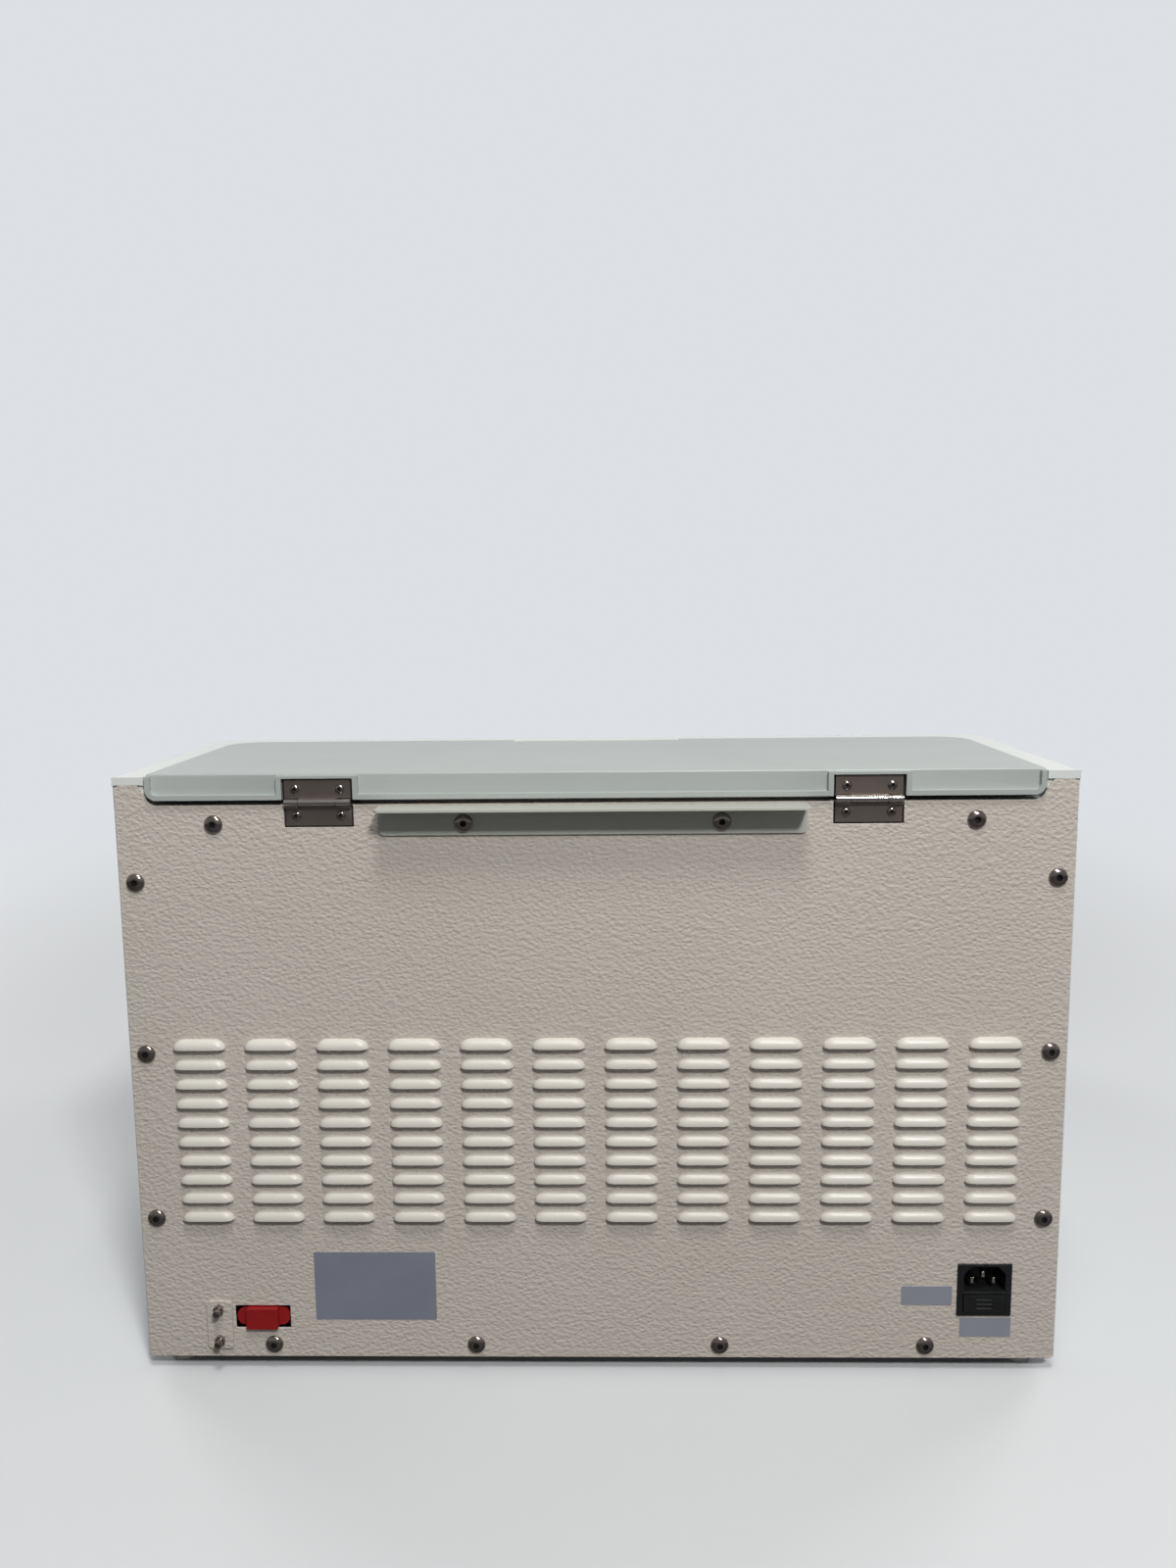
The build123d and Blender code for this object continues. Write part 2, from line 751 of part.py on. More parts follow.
def knob_z():
    return floor_z + nose_bottom + valve_height * 0.5


def key_places():
    start = -(key_count - 1) / 2
    x = display_width / 2 + (bezel_width - display_width) / 4
    return [Pos(x, (start + i) * key_pitch, 0) for i in range(key_count)]


def control_bezel():
    outer = extrude(RectangleRounded(bezel_width, bezel_length, 5), bezel_thick)
    outer -= extrude(Rectangle(display_width, display_length), bezel_thick)
    for place in key_places():
        outer -= place * extrude(Circle(key_size / 2 + key_gap), bezel_thick)
    return slope_plane(0) * outer


def display_glass():
    pane = Rectangle(display_width - 2 * display_gap, display_length - 2 * display_gap)
    return slope_plane(0) * extrude(pane, bezel_thick - display_recess)


def push_key(place):
    lift = key_travel + key_gap
    cap = extrude(Circle(key_size / 2), bezel_thick - lift + key_proud)
    cap += Pos(0, 0, -moulding - 2 * lift) * extrude(Circle(key_size / 2 - 1 - key_gap), moulding + 2 * lift)
    return slope_plane(lift) * place * cap


def valve_body():
    low = floor_z + nose_bottom
    y = valve_y()
    body = block(-valve_width / 2, valve_width / 2, y - valve_depth / 2, y + valve_depth / 2, low,
                 low + valve_height)
    body = fillet(body.edges().filter_by(Axis.Z), 3)
    body -= rod(plunger_size / 2 + plunger_clearance, (0, y, low - 1), (0, 0, 1), valve_height * 0.8 + 1)
    body -= rod(knob_shaft / 2 + plunger_clearance, (valve_width / 4, y, knob_z()), (1, 0, 0), width)
    ear = lever_pin_size * 1.6
    for side in (1, -1):
        x0, x1 = sorted((side * (lever_width / 2 + 0.4), side * valve_width / 2))
        y0 = y + valve_depth / 2
        body += block(x0, x1, y0 - 6, y0 + ear, low - 2 * ear, low + ear)
    body -= rod(lever_pin_size / 2, (-width, lever_axis_y(), lever_axis_z()), (1, 0, 0), 2 * width)
    return body


def lever_axis_y():
    return valve_y() + valve_depth / 2 + lever_pin_size * 0.7


def lever_axis_z():
    return floor_z + nose_bottom - lever_pin_size * 1.6


def valve_plunger():
    low = floor_z + nose_bottom
    rise = valve_height * 0.8 - plunger_travel - 1
    return rod(plunger_size / 2, (0, valve_y(), low), (0, 0, 1), rise)


def nozzle():
    low = floor_z + nose_bottom
    profile = Polyline(
        (nozzle_bore / 2, 0), (nozzle_size, 0), (nozzle_size, -3), (nozzle_size / 2, -5),
        (nozzle_size / 2, -nozzle_length * 0.55), (nozzle_tip / 2, -nozzle_length),
        (nozzle_bore / 2, -nozzle_length), close=True,
    )
    spout = revolve(make_face(Plane.XZ * profile), Axis.Z)
    return Pos(0, valve_y(), low) * spout


def dispenser_lever():
    """A paddle behind the nozzle that a mould pushes back."""
    y = lever_axis_y()
    z = lever_axis_z()
    half = lever_width / 2
    paddle = block(-half, half, y - lever_thick / 2, y + lever_thick / 2, z - lever_length, z)
    paddle = fillet(paddle.edges().filter_by(Axis.Y).group_by(Axis.Z)[0], half * 0.5)
    paddle += rod(lever_pin_size, (-half, y, z), (1, 0, 0), lever_width)
    guard = block(-half * 0.6, half * 0.6, y - lever_thick * 2.2, y, z - lever_length,
                  z - lever_length + lever_thick)
    paddle += guard
    return paddle - rod(lever_pin_size / 2 + pin_clearance, (-width, y, z), (1, 0, 0), 2 * width)


def flow_knob():
    x0 = nose_width / 2 + seat_gap
    y = valve_y()
    knob = rod(knob_size / 2, (x0, y, knob_z()), (1, 0, 0), knob_length)
    knob = chamfer(knob.edges().sort_by(Axis.X)[-1], 1.5)
    ribs = 12
    for i in range(ribs):
        turn = 2 * math.pi * i / ribs
        spot = (x0 - 1, y + math.cos(turn) * knob_size / 2, knob_z() + math.sin(turn) * knob_size / 2)
        knob -= rod(1.2, spot, (1, 0, 0), knob_length - 2)
    return knob + rod(knob_shaft / 2, (valve_width / 4 + 1, y, knob_z()), (1, 0, 0), x0 - valve_width / 4)


def feed_tube():
    """From under the tank forward into the valve body."""
    outlet_z = sill_z - tank_height
    y1 = valve_y() + valve_depth / 2
    z1 = floor_z + nose_bottom + feed_entry
    bend = outlet_z - z1 - insulation - heater_thick
    path = FilletPolyline((0, outlet_y(), outlet_z), (0, outlet_y(), z1), (0, y1, z1), radius=bend)
    start = Plane(origin=(0, outlet_y(), outlet_z), z_dir=(0, 0, -1))
    tube = sweep(start * Circle(feed_size / 2), path=path)
    return tube - sweep(start * Circle(feed_size / 2 - feed_wall), path=path)


def led_lamp():
    low = floor_z + nose_bottom
    y = nose_front + moulding + lamp_depth / 2 - 1
    return block(-lamp_width / 2, lamp_width / 2, y - lamp_depth / 2 + 2, y + lamp_depth / 2 - 6,
                 low - lamp_height, low)


# Work deck
def plate_recess():
    return pocket(plate_width + 2 * seat_gap, plate_length + 2 * seat_gap, 4 * sheet, plate_corner + seat_gap,
                  0, plate_y, deck_z - 3 * sheet)


def work_plate():
    plate = pocket(plate_width, plate_length, plate_thick, plate_corner, 0, plate_y,
                   deck_z - plate_thick + sheet)
    plate -= pocket(plate_width - 2 * plate_rim, plate_length - 2 * plate_rim, sheet, plate_corner * 0.6, 0,
                    plate_y, deck_z)
    for side in (1, -1):
        x = side * (plate_width / 2 - drain_gap - drain_width / 2)
        plate -= pocket(drain_width, drain_length, 4 * plate_thick, drain_width * 0.49, x, plate_y,
                        deck_z - 2 * plate_thick)
    return plate - pocket(cold_size + 1, cold_size + 1, 2 * plate_thick, 4, 0, cold_y(),
                          deck_z - plate_thick + sheet + 1)


def cold_y():
    return plate_y - plate_length / 2 + cold_size / 2 + cold_margin


def cold_plate():
    z = deck_z - plate_thick + sheet + 1
    return pocket(cold_size, cold_size, deck_z - z + 0.8, 3.5, 0, cold_y(), z)


def plate_heater():
    return pocket(plate_width - 80, plate_length - 120, heater_thick, mat_corner, 0, plate_y + 40,
                  deck_z - plate_thick + sheet - heater_thick)


def well_block_form(side, grow, z0, z1):
    x = side * well_offset
    half_x = well_pitch * 1.5 + grow
    half_y = well_block / 2 + grow
    return block(x - half_x, x + half_x, well_y - half_y, well_y + half_y, z0, z1)


def forceps_block(side):
    low = deck_z - well_depth - well_floor
    form = well_block_form(side, 0, low, deck_z + 3)
    form = chamfer(form.edges().group_by(Axis.Z)[-1], 1)
    for i in (-1, 0, 1):
        x = side * well_offset + i * well_pitch
        form -= rod(well_size / 2, (x, well_y, deck_z + 4), (0, 0, -1), well_depth + 4)
    return form


def bath_tub(side):
    return open_tub(bath_width, bath_length, bath_depth, bath_corner, tank_wall, bath_flange,
                    side * bath_offset, bath_y, deck_z)


def bath_axis_y():
    return bath_y + bath_length / 2 + bath_flange + trunnion


def bath_axis_z():
    return deck_z + trunnion


def bath_hinge_block(side):
    """Two ears behind the bath that carry the lid's pins."""
    x = side * bath_offset
    y = bath_axis_y()
    z = bath_axis_z()
    solids = []
    for end in (1, -1):
        x0 = x + end * (bath_width / 2 - 2 * ear_thick)
        x1 = x0 + end * ear_thick
        a, b = sorted((x0, x1))
        ear = block(a, b, y - ear_radius, y + ear_radius, deck_z, z) + rod(ear_radius, (a, y, z), (1, 0, 0),
                                                                           b - a)
        solids.append(ear - rod(trunnion / 2, (a - 1, y, z), (1, 0, 0), ear_thick + 2))
    return solids


def bath_lid(side):
    x = side * bath_offset
    z0 = deck_z + tank_wall
    outer = pocket(bath_width + 2 * bath_flange, bath_length + 2 * bath_flange, bath_lid_rise,
                   bath_corner + bath_flange, x, bath_y, z0)
    outer = fillet(outer.edges().group_by(Axis.Z)[-1], bath_lid_wall)
    hollow = pocket(bath_width + 2 * bath_flange - 2 * bath_lid_wall,
                    bath_length + 2 * bath_flange - 2 * bath_lid_wall,
                    bath_lid_rise - bath_lid_wall, bath_corner + bath_flange - bath_lid_wall, x, bath_y, z0)
    lid = outer - hollow
    front = bath_y - bath_length / 2 - bath_flange
    tab = block(x - tab_width / 2, x + tab_width / 2, front - tab_reach, front + 1,
                z0 + bath_lid_rise * 0.45, z0 + bath_lid_rise * 0.45 + bath_lid_wall)
    lid += fillet(tab.edges().filter_by(Axis.Z).group_by(Axis.Y)[0], 5)
    inner = bath_width / 2 - 2 * ear_thick - 0.4
    y = bath_axis_y()
    z = bath_axis_z()
    y0 = bath_y + bath_length / 2 + bath_flange - bath_lid_wall
    arm = block(x - inner, x + inner, y0, y, z - 1.5, z + 1.5) + rod(trunnion / 2 + 1, (x - inner, y, z),
                                                                     (1, 0, 0), 2 * inner)
    return lid + arm - rod(trunnion / 2 + trunnion_clearance, (x - inner - 1, y, z), (1, 0, 0), 2 * inner + 2)


def bath_pin(side):
    x = side * bath_offset
    half = bath_width / 2 - ear_thick
    return rod(trunnion / 2, (x - half, bath_axis_y(), bath_axis_z()), (1, 0, 0), 2 * half)


def bath_heater(side):
    return pocket(bath_width - 30, bath_length - 60, heater_thick, mat_corner, side * bath_offset, bath_y,
                  deck_z - bath_depth - heater_thick)


# Waste drawers
def waste_drawer(side):
    x = side * drawer_offset
    half = drawer_width / 2
    z0 = floor_z + drawer_bottom
    z1 = z0 + drawer_height
    face = block(x - half, x + half, front_y, front_y + drawer_front, z0, z1)
    face = fillet(face.edges().filter_by(Axis.Y), 3)
    inner = half - runner_thick - runner_gap - 1
    tray = block(x - inner, x + inner, front_y + drawer_front, front_y + drawer_length, z0 + 2, z1 - 2)
    tray -= block(x - inner + drawer_wall, x + inner - drawer_wall, front_y + drawer_front,
                  front_y + drawer_length - drawer_wall, z0 + 2 + drawer_wall, z1)
    grip_z = z0 + drawer_height * 0.5
    grip = block(x - handle_width / 2, x + handle_width / 2, front_y - handle_reach, front_y, grip_z,
                 grip_z + 3)
    grip += block(x - handle_width / 2, x + handle_width / 2, front_y - handle_reach,
                  front_y - handle_reach + 3,
                  grip_z - 8, grip_z + 3)
    return face + tray + grip


def drawer_runners():
    solids = []
    for side in (1, -1):
        for end in (1, -1):
            x = side * drawer_offset + end * (drawer_width / 2 - 1)
            a, b = sorted((x, x - end * runner_thick))
            z = floor_z + drawer_bottom + 2 - runner_gap - runner_thick
            inner = end * (runner_thick + 10)
            c, d = sorted((x, x - inner))
            low = floor_z + sheet
            web = block(a, b, front_y + 10, front_y + drawer_length, low, z + runner_height)
            shelf = block(c, d, front_y + 10, front_y + drawer_length, z, z + runner_thick)
            solids.append(web + shelf)
    return solids


# Base and feet
def foot_places():
    x = width / 2 - foot_side_inset
    rear = rear_y - foot_end_inset
    front = front_y + foot_end_inset + front_radius
    return [(sx * x, y) for sx in (1, -1) for y in (rear, front)]


def base_tray():
    y0 = front_y + sheet
    tray = block(-side_inner, side_inner, y0, panel_inner, floor_z, floor_z + tray_height)
    tray -= block(-side_inner + sheet, side_inner - sheet, y0 + sheet, panel_inner - sheet, floor_z + sheet,
                  floor_z + 2 * tray_height)
    for x, y in foot_places():
        tray -= rod(foot_stud / 2 + hole_clearance, (x, y, 0), (0, 0, 1), 2 * floor_z)
    slot = 60.0
    for row in range(6):
        y = -60 + row * 16
        tray -= block(-slot, slot, y, y + 5, 0, floor_z + 2 * sheet)
    for side in (1, -1):
        for x in bottom_screw_offsets:
            tray -= rod(screw_shank / 2 + hole_clearance, (side * x, rear_y, floor_z + bottom_screw_height),
                        (0, -1, 0), 4 * sheet)
    return tray


def foot(x, y):
    profile = Polyline(
        (0, 0), (foot_tip / 2 - 1, 0), (foot_tip / 2, 1), (foot_size / 2, floor_z), (foot_stud / 2, floor_z),
        (foot_stud / 2, floor_z + foot_stud_length), (0, floor_z + foot_stud_length), close=True,
    )
    return Pos(x, y, 0) * revolve(make_face(Plane.XZ * profile), Axis.Z)


# Connections on the rear
def inlet_box(inset, y0, y1):
    z = floor_z + inlet_bottom
    return block(inlet_x - inlet_width / 2 + inset, inlet_x + inlet_width / 2 - inset, y0, y1,
                 z + inset, z + inlet_height - inset)


def inlet_body():
    body = inlet_box(inlet_body_gap, rear_y - inlet_body_depth, rear_y)
    body += inlet_box(0, rear_y, rear_y + inlet_flange_thick)
    z = floor_z + inlet_bottom + socket_rise
    face = rear_y + 2 * inlet_flange_thick
    well = block(inlet_x - socket_width / 2, inlet_x + socket_width / 2, rear_y - socket_depth, face,
                 z, z + socket_height)
    body -= chamfer(well.edges().filter_by(Axis.Y).group_by(Axis.Z)[-1], socket_corner)
    z = floor_z + inlet_bottom + fuse_bottom
    half = fuse_width / 2 + fuse_gap
    return body - block(inlet_x - half, inlet_x + half, rear_y - fuse_depth - fuse_gap, face,
                        z - fuse_gap, z + fuse_height + fuse_gap)


def inlet_blades():
    z = floor_z + inlet_bottom + socket_rise + socket_height / 2
    solids = []
    for dx, dz in blade_places:
        x = inlet_x + dx
        y0 = rear_y - socket_depth
        solids.append(block(x - blade_thick / 2, x + blade_thick / 2, y0, y0 + blade_length,
                            z + dz - blade_width / 2, z + dz + blade_width / 2))
    return solids


def fuse_drawer():
    z = floor_z + inlet_bottom + fuse_bottom
    face = rear_y + inlet_flange_thick
    drawer = block(inlet_x - fuse_width / 2, inlet_x + fuse_width / 2, rear_y - fuse_depth, face + fuse_proud,
                   z, z + fuse_height)
    for step in (1, 2, 3):
        low = z + step * fuse_height / 4
        drawer -= block(inlet_x - fuse_grip / 2, inlet_x + fuse_grip / 2, face, face + 2 * fuse_proud,
                        low, low + fuse_height / 8)
    for x in fuse_places():
        drawer -= rod(fuse_size / 2, (x, rear_y - fuse_depth - 1, z + fuse_height / 2), (0, 1, 0),
                      fuse_length + 2)
    return drawer


def fuse_places():
    return (inlet_x - fuse_width / 4, inlet_x + fuse_width / 4)


def fuses():
    z = floor_z + inlet_bottom + fuse_bottom + fuse_height / 2
    return [rod(fuse_size / 2, (x, rear_y - fuse_depth, z), (0, 1, 0), fuse_length) for x in fuse_places()]


def dsub_box(inset, y0, y1):
    """A box on the socket's opening, drawn in by inset or grown by a negative one."""
    z = floor_z + dsub_bottom
    half = dsub_width / 2 - inset
    return block(dsub_x - half, dsub_x + half, y0, y1, z + inset, z + dsub_height - inset)


def dsub_socket():
    """The socket behind the panel: a rim, a step that the cap lies on and the well of the contacts."""
    back = panel_inner - dsub_depth
    body = dsub_box(-dsub_rim, back, panel_inner)
    body -= block(-width, width, back - 1, rear_y, 0, floor_z + tray_height + inlet_body_gap)
    body -= dsub_box(dsub_gap, panel_inner - dsub_step, rear_y)
    return body - dsub_box(dsub_wall, back + dsub_floor, rear_y)


def dust_cap():
    seat = panel_inner - dsub_step + cap_plug_gap
    middle_z = floor_z + dsub_bottom + dsub_height / 2
    plane = Plane(origin=(dsub_x, seat, middle_z), x_dir=(1, 0, 0), z_dir=(0, 1, 0))
    lugs = RectangleRounded(dsub_width - 2 * cap_gap, cap_lug_height, cap_lug_round)
    cap = plane * extrude(lugs, cap_flange)
    grip = RectangleRounded(cap_grip, dsub_height - 2 * cap_gap, cap_grip_round)
    cap += plane * extrude(grip, rear_y + cap_proud - seat)
    return cap + dsub_box(dsub_wall + cap_plug_gap, seat - cap_plug, seat + 1)


def keeper_plate():
    z = floor_z + keeper_bottom
    plate = block(keeper_x - keeper_width / 2, keeper_x + keeper_width / 2, rear_y, rear_y + sheet, z,
                  z + keeper_height)
    return fillet(plate.edges().filter_by(Axis.Y), keeper_corner)


def keeper_stud(height):
    """A threaded post with its nut and a hexagon socket in its end."""
    stud = extrude(Circle(post_size / 2), post_reach)
    stud += extrude(RegularPolygon(post_nut / 2, 6), post_nut_height)
    stud -= Pos(0, 0, post_reach - post_socket_depth) * extrude(RegularPolygon(post_socket, 6), post_reach)
    return Plane(origin=(keeper_x, rear_y + sheet, floor_z + height), z_dir=(0, 1, 0)) * stud


# Mains switch on the left side seen from the rear right
def switch_box(grow, x0, x1):
    y = rear_y - switch_y_inset
    z = floor_z + switch_height
    return block(x0, x1, y - switch_width / 2 - grow, y + switch_width / 2 + grow,
                 z - switch_rise / 2 - grow, z + switch_rise / 2 + grow)


def switch_hole():
    return switch_box(-switch_bezel + 0.2, -width / 2 - 1, -side_inner + 1)


def switch_body():
    body = switch_box(-switch_bezel, -width / 2, -width / 2 + switch_depth)
    body += switch_box(0, -width / 2 - switch_bezel * 0.5, -width / 2)
    body -= switch_box(-switch_bezel - 1.5, -width / 2 - 5, -width / 2 + switch_depth * 0.5)
    return body


def rocker():
    """A paddle with a raised ridge each side of its pivot."""
    y = rear_y - switch_y_inset
    z = floor_z + switch_height
    half_y = switch_width / 2 - switch_bezel - 1.5 - 0.3
    half_z = switch_rise / 2 - switch_bezel - 1.5 - 0.6
    x = -width / 2
    profile = make_face(Plane.XZ * Polyline(
        (x + 3, z - half_z + 1), (x - 0.6, z - half_z + 0.4), (x + 0.6, z), (x - 0.6, z + half_z - 0.4),
        (x + 3, z + half_z - 1), (x + 6, z), close=True))
    paddle = Pos(0, y - half_y, 0) * extrude(profile, 2 * half_y, dir=(0, 1, 0))
    pivot = Pos(x + rocker_pivot, 0, z)
    return pivot * Rot(0, rocker_tilt, 0) * pivot.inverse() * paddle


# Electronics under the upper housing
def power_supply():
    sx, sy, sz = supply_size
    x = -150.0
    y = rear_y - 40 - sy / 2
    low = floor_z + sheet
    return block(x - sx / 2, x + sx / 2, y - sy / 2, y + sy / 2, low, low + sz)


def control_board():
    sx, sy, sz = board_size
    x = 60.0
    y = rear_y - 40 - sy / 2
    low = floor_z + sheet + standoff
    board = block(x - sx / 2, x + sx / 2, y - sy / 2, y + sy / 2, low, low + sz)
    for dx in (-1, 1):
        for dy in (-1, 1):
            board += rod(2.5, (x + dx * (sx / 2 - 6), y + dy * (sy / 2 - 6), low - standoff), (0, 0, 1),
                         standoff)
    for dx, w, h in ((-50, 30, 14), (0, 24, 9), (46, 36, 20)):
        board += block(x + dx - w / 2, x + dx + w / 2, y - 18, y + 18, low + sz, low + sz + h)
    return board


def build_all():
    save("rear_panel", rear_panel())
    screws = [button_screw(x, floor_z + h, rear_y) for x, h in panel_screw_places()]
    screws += [button_screw(s * stop_screw_offset, floor_z + top_screw_height, rear_y + sheet) for s in (1,
                                                                                                         -1)]
    save("panel_screws", group(screws))
    save("side_panel_left", side_panel(-1))
    save("side_panel_right", side_panel(1))
    save("deck_cover", deck_cover())
    save("upper_shell", upper_shell())
    save("top_frame", top_frame())
    save("lid_stop_bracket", lid_stop())

    save("tank_lid", tank_lid())
    save("lid_gasket", lid_gasket())
    save("hinge_leaves_lid", group(hinge_leaf(s * hinge_offset, True) for s in (1, -1)))
    save("hinge_leaves_frame", group(hinge_leaf(s * hinge_offset, False) for s in (1, -1)))
    pins = [rod(pin / 2, (s * hinge_offset - hinge_width / 2, axis_y, axis_z), (1, 0, 0),
                hinge_width) for s in (1, -1)]
    save("hinge_pins", group(pins))
    spots = [s * hinge_offset + dx for s in (1, -1) for dx in (-hinge_screw_spread, hinge_screw_spread)]
    face = rear_y + leaf
    save("hinge_screws_lid", group(small_screw(x, upper_screw_z(), face, leaf + lid_wall) for x in spots))
    face = panel_inner + leaf
    save("hinge_screws_frame", group(small_screw(x, lower_screw_z(), face, leaf + moulding) for x in spots))

    save("paraffin_tank", paraffin_tank())
    save("tank_insulation", tank_insulation())
    save("heater_mats", group([tank_heater(), plate_heater(), bath_heater(1), bath_heater(-1)]))
    save("tank_strainer", tank_strainer())
    save("feed_tube", feed_tube())

    save("nose_housing", nose_housing())
    save("control_bezel", control_bezel())
    save("display_glass", display_glass())
    for index, place in enumerate(key_places()):
        save("push_key_%d" % (index + 1), push_key(place))
    save("valve_body", valve_body())
    save("valve_plunger", valve_plunger())
    save("nozzle", nozzle())
    save("dispenser_lever", dispenser_lever())
    ends = valve_width / 2
    save("lever_pin", rod(lever_pin_size / 2, (-ends, lever_axis_y(), lever_axis_z()), (1, 0, 0), 2 * ends))
    save("flow_knob", flow_knob())
    save("led_lamp", led_lamp())

    save("work_plate", work_plate())
    save("cold_plate", cold_plate())
    save("forceps_blocks", group(forceps_block(s) for s in (1, -1)))
    for side, name in ((-1, "cassette_bath"), (1, "mould_warmer")):
        save(name + "_tub", bath_tub(side))
        save(name + "_lid", bath_lid(side))
    save("bath_hinge_ears", group(bath_hinge_block(1) + bath_hinge_block(-1)))
    save("bath_hinge_pins", group(bath_pin(s) for s in (1, -1)))

    save("waste_drawer_left", waste_drawer(-1))
    save("waste_drawer_right", waste_drawer(1))
    save("drawer_runners", group(drawer_runners()))

    save("base_tray", base_tray())
    save("feet", group(foot(x, y) for x, y in foot_places()))
    save("inlet_body", inlet_body())
    save("inlet_blades", group(inlet_blades()))
    save("fuse_drawer", fuse_drawer())
    save("fuses", group(fuses()))
    save("footswitch_socket", dsub_socket())
    save("dust_cap", dust_cap())
    save("keeper_plate", keeper_plate())
    save("keeper_studs", group(keeper_stud(height) for height in keeper_posts))
    save("switch_body", switch_body())
    save("switch_rocker", rocker())
    save("power_supply", power_supply())
    save("control_board", control_board())


build_all()
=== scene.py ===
"""Looks of a tissue embedding station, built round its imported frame.

Everything is in metres in the frame's own axes: +Z up, the louvred rear panel faces +Y.
Sizes that belong to a piece are written in millimetres and turned into metres by mm().
"""

import json
import logging
import math
from collections.abc import Iterable
from dataclasses import dataclass
from enum import Enum

import bmesh
import bpy
from mathutils import Matrix, Vector

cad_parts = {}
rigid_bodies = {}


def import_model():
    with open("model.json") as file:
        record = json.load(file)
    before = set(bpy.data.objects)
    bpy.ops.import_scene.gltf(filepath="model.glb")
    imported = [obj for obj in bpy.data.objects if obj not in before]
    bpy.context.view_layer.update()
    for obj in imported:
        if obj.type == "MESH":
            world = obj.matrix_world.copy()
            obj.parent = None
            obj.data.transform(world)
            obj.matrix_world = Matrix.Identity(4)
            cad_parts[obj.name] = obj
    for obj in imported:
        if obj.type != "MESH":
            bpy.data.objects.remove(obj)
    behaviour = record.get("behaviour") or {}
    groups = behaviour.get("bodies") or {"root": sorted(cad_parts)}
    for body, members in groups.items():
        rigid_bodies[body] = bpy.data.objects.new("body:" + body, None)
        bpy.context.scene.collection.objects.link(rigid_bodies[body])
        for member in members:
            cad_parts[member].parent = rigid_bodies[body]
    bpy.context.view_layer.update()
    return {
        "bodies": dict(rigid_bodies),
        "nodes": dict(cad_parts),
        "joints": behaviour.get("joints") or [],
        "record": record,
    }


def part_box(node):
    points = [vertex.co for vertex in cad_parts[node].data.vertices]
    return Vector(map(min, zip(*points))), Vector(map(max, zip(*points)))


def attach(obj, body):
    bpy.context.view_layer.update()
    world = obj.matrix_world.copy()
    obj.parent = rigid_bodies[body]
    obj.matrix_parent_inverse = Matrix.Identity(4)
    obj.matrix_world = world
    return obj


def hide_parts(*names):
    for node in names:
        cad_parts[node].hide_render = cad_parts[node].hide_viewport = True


log = logging.getLogger("embedding_station")


def mm(value: float) -> float:
    """Millimetres to metres."""
    return value / 1000.0


PLATE_WELD = mm(0.002)


def linear(colour: str) -> tuple[float, float, float, float]:
    """An sRGB hex colour as Blender's linear one.

    Args:
        colour: six hex digits with a leading hash.

    Returns:
        Linear red, green, blue and an alpha of 1.
    """
    parts = [int(colour[i:i + 2], 16) / 255.0 for i in (1, 3, 5)]
    levels = [c / 12.92 if c <= 0.04045 else ((c + 0.055) / 1.055) ** 2.4 for c in parts]
    return (levels[0], levels[1], levels[2], 1.0)


def add(tree: bpy.types.NodeTree, kind: str, settings: dict | None = None,
        inputs: dict | None = None) -> bpy.types.Node:
    """Adds one node with its settings and links.

    Args:
        tree: the node tree that gets the node.
        kind: the node's type name.
        settings: attributes of the node.
        inputs: socket name or number to a value, or to the output socket that feeds it.

    Returns:
        The new node.
    """
    node = tree.nodes.new(kind)
    for name, value in (settings or {}).items():
        setattr(node, name, value)
    for key, value in (inputs or {}).items():
        if isinstance(value, bpy.types.NodeSocket):
            tree.links.new(value, node.inputs[key])
        else:
            node.inputs[key].default_value = value
    return node


class Grain(Enum):
    """How a surface was made, as the eye sees it."""

    WRINKLE = "wrinkle coat"
    PEEL = "sprayed coat"
    MOULDED = "moulded"
    BRUSHED_X = "brushed along X"
    BRUSHED_Z = "brushed along Z"
    TUMBLED = "tumbled"
    BLASTED = "bead blasted"
    PLAIN = "plain"


